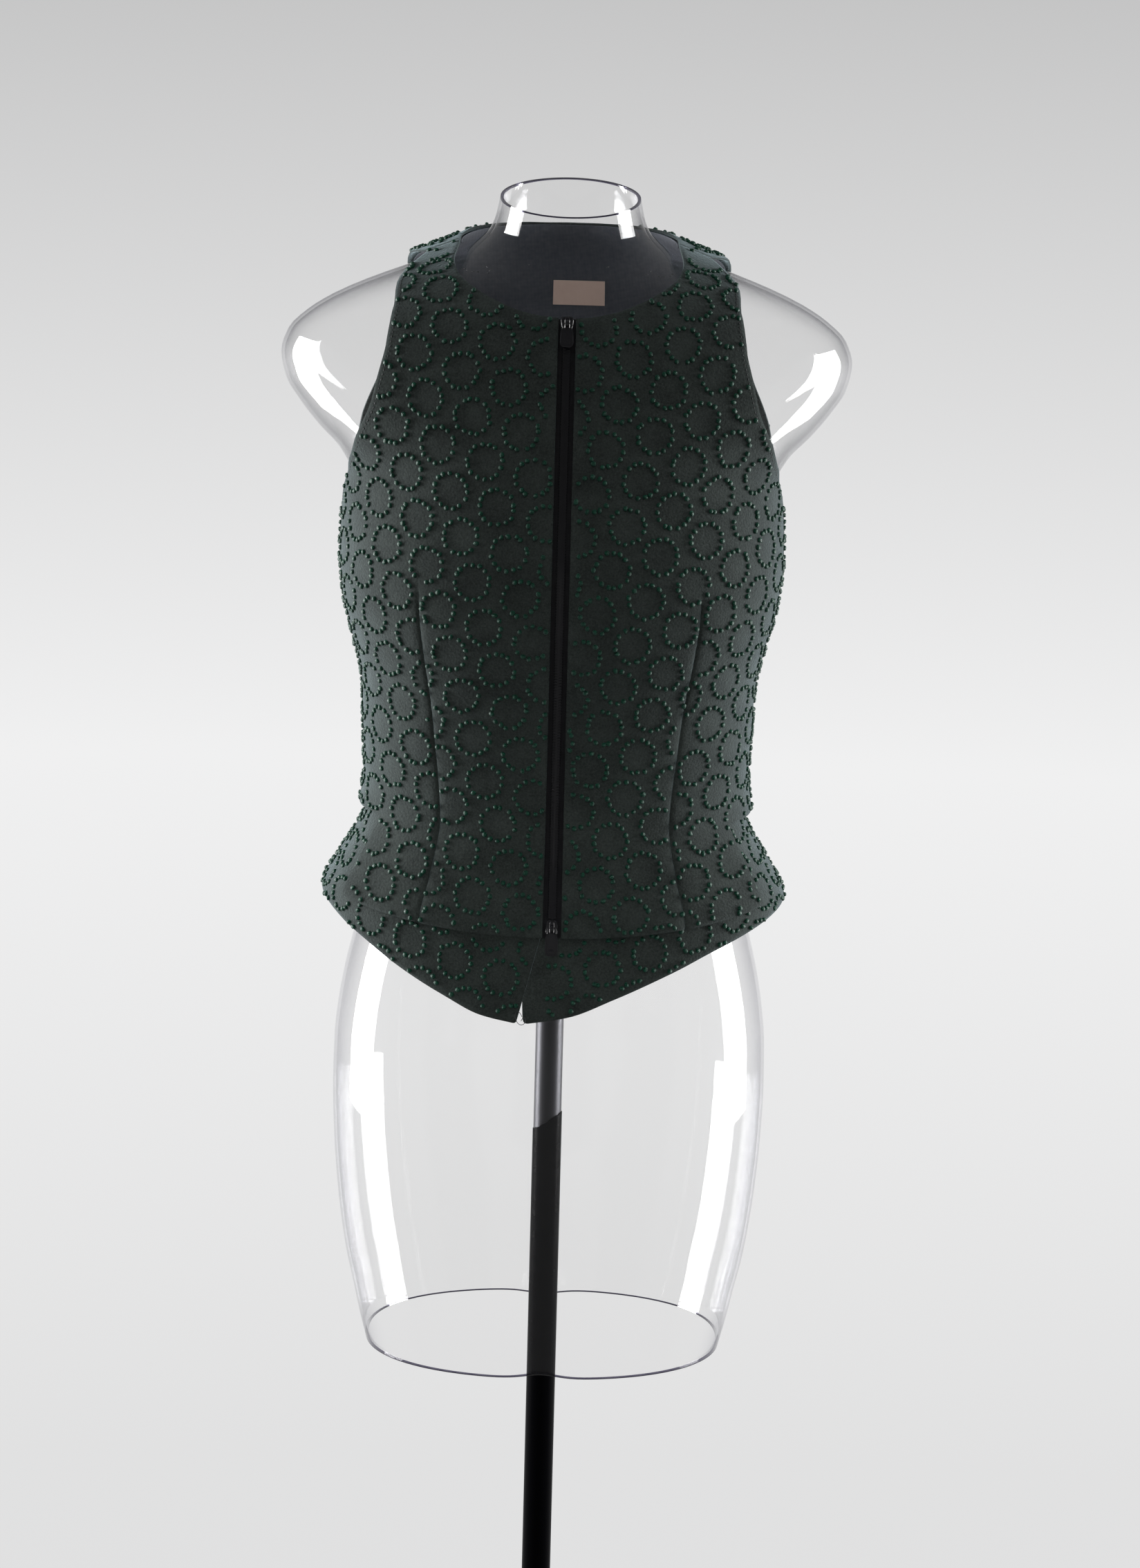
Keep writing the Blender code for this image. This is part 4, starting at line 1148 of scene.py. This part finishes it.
def zip_tape(side, hand, finish):
    """One tape of the zip, with a low ridge beside the coils."""
    xs = np.linspace(TAPE_INNER_X, TAPE_OUTER_X, 14)
    levels = np.linspace(FRONT_HEM_CENTRE, FRONT_NECK, 130)
    ridge = TAPE_RIDGE * np.exp(-((xs - TAPE_RIDGE_X) / TAPE_RIDGE_WIDE) ** 2)
    depth = np.broadcast_to(TAPE_DEPTH - ridge, (len(levels), len(xs)))
    xs, depth = (hand * xs)[::hand], depth[:, ::hand]
    points, faces, _ = strip(xs, levels, depth, TAPE)
    made = new_piece("tape_" + side, points, faces, [finish], "zip_tape")
    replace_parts(made, "zip_tape_" + side)


def zip_coils(finish):
    """The closed zip: two rows of coils, each an ellipsoid across the middle, on a narrow cord."""
    half = SLIDER_LENGTH / 2 + 0.3 * MM
    low, high = BOTTOM_SLIDER_LEVEL + half, TOP_SLIDER_LEVEL - half
    rows = int((high - low) / COIL_PITCH)
    level = low + (np.arange(rows) + 0.5) * (high - low) / rows
    level = np.stack([level, level + 0.5 * (high - low) / rows])[:, : rows - 1].ravel()
    x = np.repeat([-COIL_X, COIL_X], rows - 1)
    angle = angle_at(x, level)
    normal = normal_of(coat_point, level, angle)
    across = unit(np.cross(np.array([0, 0, 1.0]), normal))
    axes = np.stack([-across, np.cross(normal, -across), normal], axis=1)
    size = np.repeat([COIL_SIZE], len(x), axis=0)
    coils = scattered(bead_shape(8, 6), coat_inside(level, angle, COIL_DEPTH), axes, size)
    cord = strip(np.linspace(-CORD_HALF, CORD_HALF, 5), np.linspace(low, high, 90), CORD_DEPTH, CORD)
    points, faces = joined([coils, cord[:2]])
    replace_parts(new_piece("zip_coils", points, faces, [finish], "zip_metal"), "zip_chain")


def front_axes(level):
    """A place on the centre front at a level, and three axes there: across, up the cloth and outwards."""
    low, here, high = coat_point(np.array([level - 2 * MM, level, level + 2 * MM]), np.zeros(3))
    across = np.array([1.0, 0.0, 0.0])
    up = unit(high - low)
    return here, np.stack([across, up, np.cross(across, up)])


def tab_loop(half_low, half_high, low, high, z, inset=0.0, power=4.0, count=40):
    """A loop at a height z: a superellipse whose half width runs from one at its low end to another."""
    turn = TAU * (np.arange(count) + 0.5) / count
    x, y = (np.sign(v) * np.abs(v) ** (2 / power) for v in (np.cos(turn), np.sin(turn)))
    half = half_low + (half_high - half_low) * (y + 1) / 2 - inset
    y = (low + high) / 2 + ((high - low) / 2 - inset) * y
    return np.stack([x * half, y, np.full(count, z)], axis=-1)


def slider(place, level, wide_up, finish):
    """A slider: a bevelled body that flares to one end, a ridge along it and a bow over the pull's bar."""
    half = SLIDER_LENGTH / 2
    halves = (SLIDER_NARROW_HALF, SLIDER_HALF) if wide_up else (SLIDER_HALF, SLIDER_NARROW_HALF)
    steps = ((-SLIDER_UNDER, 0.5), (-SLIDER_UNDER + 0.5 * MM, 0.0), (-0.5 * MM, 0.0), (-0.3 * MM, 0.35),
             (0.2 * MM, 0.35), (0.4 * MM, 0.0), (1.0 * MM, 0.0), (SLIDER_TOP - 0.1 * MM, 0.5),
             (SLIDER_TOP, 0.9))
    body = lofted([tab_loop(*halves, -half, half, z, inset * MM) for z, inset in steps])
    ridge = lofted([tab_loop(1.7 * MM, 1.7 * MM, -4.6 * MM, 4.6 * MM, z * MM, inset * MM)
                    for z, inset in ((1.2, 0), (1.9, 0), (2.15, 0.25), (2.2, 0.6))])
    turn = np.linspace(0, math.pi, 17)
    arch = np.stack([0 * turn, -BOW_RADIUS * np.cos(turn), BOW_AXIS + BOW_RADIUS * np.sin(turn)], axis=-1)
    feet = arch[[0, -1]] * np.array([1, 1, 0]) + np.array([0, 0, 1.3 * MM])
    path = np.concatenate([feet[:1], arch, feet[1:]])
    bow = swept(path, BOW_HALF_WIDTH, BOW_HALF_THICK, (1.0, 0.0, 0.0), 14)
    points, faces = joined([body, ridge, bow])
    here, axes = front_axes(level)
    made = new_piece("slider_" + place, here + points @ axes, faces, [finish], "zip_metal", sharp=32)
    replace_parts(made, "zip_slider_" + place)


def pull(place, level, length, finish):
    """A pull: a tab with a raised rim, a recess and a round pad, hung by an eye on the slider's bow."""
    steps = ((-0.7, 0.55), (-0.5, 0.12), (0.0, 0.0), (0.5, 0.1), (0.7, 0.4), (0.7, 0.75), (0.3, 1.0))
    tab = lofted([tab_loop(PULL_LOW_HALF, PULL_HIGH_HALF, -length, PULL_START, z * MM, inset * MM,
                           PULL_POWER, 48) for z, inset in steps])
    side = np.array(EYE_SIDE)
    path = np.concatenate([side, [(0.0, 0.0)], side[::-1] * (-1, 1)]) * MM
    path = np.concatenate([path, np.zeros((len(path), 1))], axis=1)
    eye = swept(path, PULL_WIRE, PULL_WIRE, (0.0, 0.0, 1.0), 12)
    centre = np.array([[0.0, -length + PAD_FROM_END, 0.35 * MM]])
    pad = scattered(bead_shape(20, 10), centre, np.eye(3)[None], [PAD_SIZE])
    points, faces = joined([tab, eye, pad])
    here, axes = front_axes(level)
    points = here + (points + np.array([0, 0, BOW_AXIS])) @ axes
    made = new_piece("pull_tab_" + place, points, faces, [finish], "zip_metal", "pull_" + place, sharp=32)
    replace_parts(made, "zip_pull_" + place)


# Inside the neck

def facing(finish):
    """The facing inside the back neck: the yoke's grid above FACING_START on one back, mirrored."""
    shares, steps = np.linspace(0, BACK_NECK_SHARE, 26), np.linspace(FACING_START, 1, 26)
    level, angle = yoke_grid(back_edge_angle, SIDE_NECK, "back", BACK_NECK_SHARE, shares, steps)
    level = np.concatenate([level[:, :0:-1], level], axis=1)
    angle = np.concatenate([angle[:, :0:-1], 360 - angle], axis=1)
    made = cloth("facing_back", 1, level, angle, FACING_DEPTH, FACING, [finish], "facing", bend=still)
    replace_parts(made, "neck_facing")
    points = coat_point(level, angle)


def still(level, angle):
    """No unevenness."""
    return np.zeros(np.shape(angle))


def label(finish):
    """The blank woven label on the facing: a rectangle of even steps, each step's angle from its x."""
    x = LABEL_CENTRE_X + LABEL_WIDTH * np.linspace(-0.5, 0.5, 26)
    level = LABEL_LEVEL + LABEL_HEIGHT * np.linspace(-0.5, 0.5, 14)
    level = np.repeat(level[:, None], len(x), 1)
    depth = form_ring("back", level) * MM + stand_off("ease", level) + CLOTH
    angle = 180 - np.degrees(np.arctan2(x[None, :], depth))
    made = cloth("label_blank", 1, level, angle, LABEL_DEPTH, LABEL, [finish], "label", bend=still)
    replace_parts(made, "neck_label")


# The dress form and its stand

def form_clear(finish, rim):
    """The clear torso: one smooth wall between the form's outside and SHELL_WALL inside it.

    It is open at the neck and the hem, and the rims there take a darker finish.
    """
    rings = [row[0] * MM for row in FORM_RINGS]
    rings = [rings[0], rings[0] + 0.7 * MM, *rings[1:-1], rings[-1] - 1.1 * MM, rings[-1]]
    levels = between(rings, FORM_STEP)
    level, angle = np.meshgrid(levels, np.linspace(0, 360, ROUND_SIDES, endpoint=False), indexing="ij")
    outside, inside = form_offset(level, angle, 0.0), form_offset(level, angle, -SHELL_WALL)
    points, faces, rims = closed_wall(outside, inside, wrap=True)
    side = np.zeros((len(levels) - 1, ROUND_SIDES), bool)
    side[[0, -1]] = True
    edge = np.concatenate([side.ravel(), side.ravel(), np.ones(rims, bool)])
    made = new_piece("form_clear", points, faces, [finish, rim], "clear_plastic", second=edge)
    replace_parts(made, "form_shell")


def turned_loops(profile, count=96):
    """Loops round the Z axis from pairs of radius and height, in metres."""
    turn = TAU * np.arange(count) / count
    radius, height = np.array(profile, float).T
    return np.stack([radius[:, None] * np.cos(turn), radius[:, None] * np.sin(turn),
                     np.repeat(height[:, None], count, 1)], axis=-1)


def carrier_plate(black):
    """The plate inside the waist: the form's ring there, drawn in by its wall and a gap."""
    angle = np.linspace(0, 360, ROUND_SIDES, endpoint=False)
    middle = np.full(ROUND_SIDES, PLATE_BOTTOM + PLATE / 2)
    ring = form_offset(middle, angle, -SHELL_WALL - PLATE_GAP)
    loops = [np.column_stack([ring[:, :2] * scale, np.full(ROUND_SIDES, PLATE_BOTTOM + up * MM)])
             for scale, up in ((0.996, 0.0), (1.0, 0.5), (1.0, 3.5), (0.996, 4.0))]
    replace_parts(new_piece("carrier_plate", *lofted(loops), [black], "black_metal"), "form_plate")


def pole_and_foot(satin, black):
    """The pole with its flange, and the round foot with its collar: profiles turned round the Z axis."""
    top = PLATE_BOTTOM - 0.3 * MM
    pole = ((POLE_RADIUS - 0.4 * MM, COLLAR_HEIGHT + 0.3 * MM), (POLE_RADIUS, COLLAR_HEIGHT + 0.8 * MM),
            (POLE_RADIUS, 0.3), (POLE_RADIUS, 0.62), (POLE_RADIUS, 0.84),
            (POLE_RADIUS, top - FLANGE - 8 * MM), (POLE_RADIUS + 4 * MM, top - FLANGE - 6 * MM),
            (FLANGE_RADIUS - 1 * MM, top - FLANGE),
            (FLANGE_RADIUS, top - FLANGE + 0.6 * MM), (FLANGE_RADIUS, top))
    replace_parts(new_piece("pole_satin", *lofted(turned_loops(pole)), [satin], "satin_metal"), "stand_pole")
    foot = ((BASE_RADIUS - 1 * MM, 0.0), (BASE_RADIUS, 1 * MM), (BASE_RADIUS, BASE - 2 * MM),
            (BASE_RADIUS - 0.6 * MM, BASE - 0.6 * MM), (BASE_RADIUS - 2 * MM, BASE),
            (COLLAR_RADIUS + 4 * MM, BASE), (COLLAR_RADIUS + 1.2 * MM, BASE + 1.2 * MM),
            (COLLAR_RADIUS, BASE + 4 * MM), (COLLAR_RADIUS - 5 * MM, COLLAR_HEIGHT - 1 * MM),
            (COLLAR_RADIUS - 6.5 * MM, COLLAR_HEIGHT))
    made = new_piece("foot_round", *lofted(turned_loops(foot, 128)), [black], "black_metal")
    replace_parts(made, "stand_base")


def pole_wrap(wrap):
    """The black wrap on the pole: a thin wall whose top edge slants by a cosine and is a little ragged."""
    turn = TAU * np.arange(96) / 96
    jag = np.tile(np.random.default_rng(7).normal(0, WRAP_JAG, 96), 3)
    jag = np.convolve(jag, [0.5, 0.3, 0.2], "same")[96:192]
    high = WRAP_TOP - WRAP_SLANT * np.cos(turn - 2.9) + jag
    rows = np.array([0, 0.004, 0.3, 0.6, 0.9, 0.985, 1.0])[:, None]
    height = COLLAR_HEIGHT + 1.5 * MM + (high - COLLAR_HEIGHT - 1.5 * MM)[None, :] * rows
    sides = [np.stack([r * np.cos(turn) + 0 * rows, r * np.sin(turn) + 0 * rows, height], axis=-1)
             for r in (POLE_RADIUS + 0.55 * MM, POLE_RADIUS + 0.12 * MM)]
    points, faces, _ = closed_wall(*sides, wrap=True)
    new_piece("pole_wrap", points, faces, [wrap], "satin_metal")


def stray_thread(finish):
    """A loose end of dark thread at the corner of the under skirt.

    Its level and its x are a sine and a cosine of falling size, and it comes off the cloth evenly.
    """
    t = np.linspace(0, 1, 40)
    level = THREAD_LEVEL + 4.5 * MM * np.sin(9 * t) * (1 - 0.4 * t) - 4 * MM * t
    x = THREAD_X + 3.5 * MM * np.cos(8 * t + 0.6) * (1 - 0.3 * t) + 4 * MM * t
    out = coat_inside(level, angle_at(x, level), SKIRT_DEPTH - THREAD_START - THREAD_OFF * t)
    points, faces = swept(out, THREAD_HALF, THREAD_HALF, (0.2, 1.0, 0.1), 8)
    new_piece("thread_end", points, faces, [finish], "wool")


# The picture

def softbox(name, place, aim, size, radiance):
    """A rectangular light of a size and a radiance, aimed at a point."""
    lamp = bpy.data.lights.new(name, "AREA")
    lamp.shape = "RECTANGLE"
    lamp.size, lamp.size_y = size
    lamp.energy = radiance * math.pi * size[0] * size[1]
    made = bpy.data.objects.new(name, lamp)
    bpy.context.collection.objects.link(made)
    turn = (Vector(aim) - Vector(place)).to_track_quat("-Z", "Y").to_matrix().to_4x4()
    made.matrix_world = Matrix.Translation(place) @ turn
    return made


def studio():
    """Pale surroundings that are dimmer in front, the soft lights, and the camera of the photograph."""
    scene = bpy.context.scene
    world = bpy.data.worlds.new("studio")
    scene.world = world
    world.use_nodes = True
    tree = world.node_tree
    way = add(tree, "ShaderNodeSeparateXYZ", {0: add(tree, "ShaderNodeTexCoord").outputs["Generated"]})
    rise = add(tree, "ShaderNodeMapRange", {"Value": way.outputs["Z"], "From Min": -0.5, "From Max": 0.1})
    sweep = ramp(tree, rise.outputs[0], [(place, (tone, tone, tone * 1.003)) for place, tone in SWEEP])
    ahead = add(tree, "ShaderNodeMapRange", {"Value": way.outputs["Y"], "From Min": -0.35, "From Max": 0.35,
                                             "To Min": FRONT_DIM, "To Max": 1.0})
    tree.links.new(sweep, tree.nodes["Background"].inputs["Color"])
    tree.links.new(ahead.outputs[0], tree.nodes["Background"].inputs["Strength"])
    lights = {name: softbox(name, *rest) for name, *rest in SOFTBOXES}
    lights["top_light"].visible_glossy = False
    lights["skirt_light"].visible_glossy = lights["skirt_light"].visible_camera = False
    lights["skirt_light"].data.spread = math.radians(SKIRT_LIGHT_SPREAD)
    scene.view_settings.view_transform = "Standard"
    lens = bpy.data.cameras.new("camera")
    lens.sensor_fit = "VERTICAL"
    lens.sensor_height = SENSOR
    lens.lens = LENS
    camera = bpy.data.objects.new("camera", lens)
    bpy.context.collection.objects.link(camera)
    pitch = math.radians(PITCH)
    look = Vector((0.0, math.cos(pitch), -math.sin(pitch)))
    camera.matrix_world = (Matrix.Translation(Vector(LOOKS_AT) - look * DISTANCE)
                           @ look.to_track_quat("-Z", "Y").to_matrix().to_4x4()
                           @ Matrix.Rotation(math.radians(ROLL), 4, "Z"))
    scene.camera = camera


def main():
    """Build every piece, the lights and the camera."""
    wool = felt("felted_wool", (0.0092, 0.0110, 0.0102), (0.0245, 0.0298, 0.0272))
    knot = yarn()
    thread = finish("sewing_thread", Base_Color=(0.012, 0.013, 0.014, 1.0), Roughness=0.6)[0]
    tape = woven("zip_tape_weave", (0.002, 0.002, 0.0025), (0.010, 0.010, 0.011), 420.0)
    coils = polished("zip_black", (0.006, 0.006, 0.007), 0.2, 0.0, 0.6)
    lining = woven("facing_weave", (0.060, 0.066, 0.080), (0.135, 0.146, 0.172), 500.0)
    ribbon = woven("label_weave", (0.82, 0.60, 0.50), (0.95, 0.75, 0.64), 520.0, 0.75)
    # The second colour of each clear finish is painted shade where its faces turn away.
    glass = clear("clear_plastic", (0.996, 0.996, 0.996), (0.60, 0.60, 0.64), 0.024)
    rim = clear("clear_rim", (0.16, 0.15, 0.21), (0.04, 0.04, 0.06), 0.1)
    satin = polished("satin_tube", (0.055, 0.055, 0.06), 0.42, 1.0)
    wrap = polished("black_wrap", (0.001, 0.001, 0.0013), 0.28, 0.0, 0.02)
    black = polished("black_paint", (0.012, 0.012, 0.013), 0.34)

    form_clear(glass, rim)
    carrier_plate(black)
    pole_and_foot(satin, black)
    pole_wrap(wrap)
    chart = Chart()
    for side, hand in (("left", 1), ("right", -1)):
        front(side, hand, chart, FRONT_ANCHORS[side], wool, knot, thread)
        under_skirt(side, hand, chart, SKIRT_ANCHORS[side], wool, knot)
        back(side, hand, chart, BACK_ANCHOR, wool, knot, thread)
        zip_tape(side, hand, tape)
    zip_coils(coils)
    for place, level, length, wide_up in (("top", TOP_SLIDER_LEVEL, TOP_PULL_LENGTH, True),
                                          ("bottom", BOTTOM_SLIDER_LEVEL, BOTTOM_PULL_LENGTH, False)):
        slider(place, level, wide_up, coils)
        pull(place, level, length, coils)
    facing(lining)
    label(ribbon)
    stray_thread(thread)
    studio()


main()
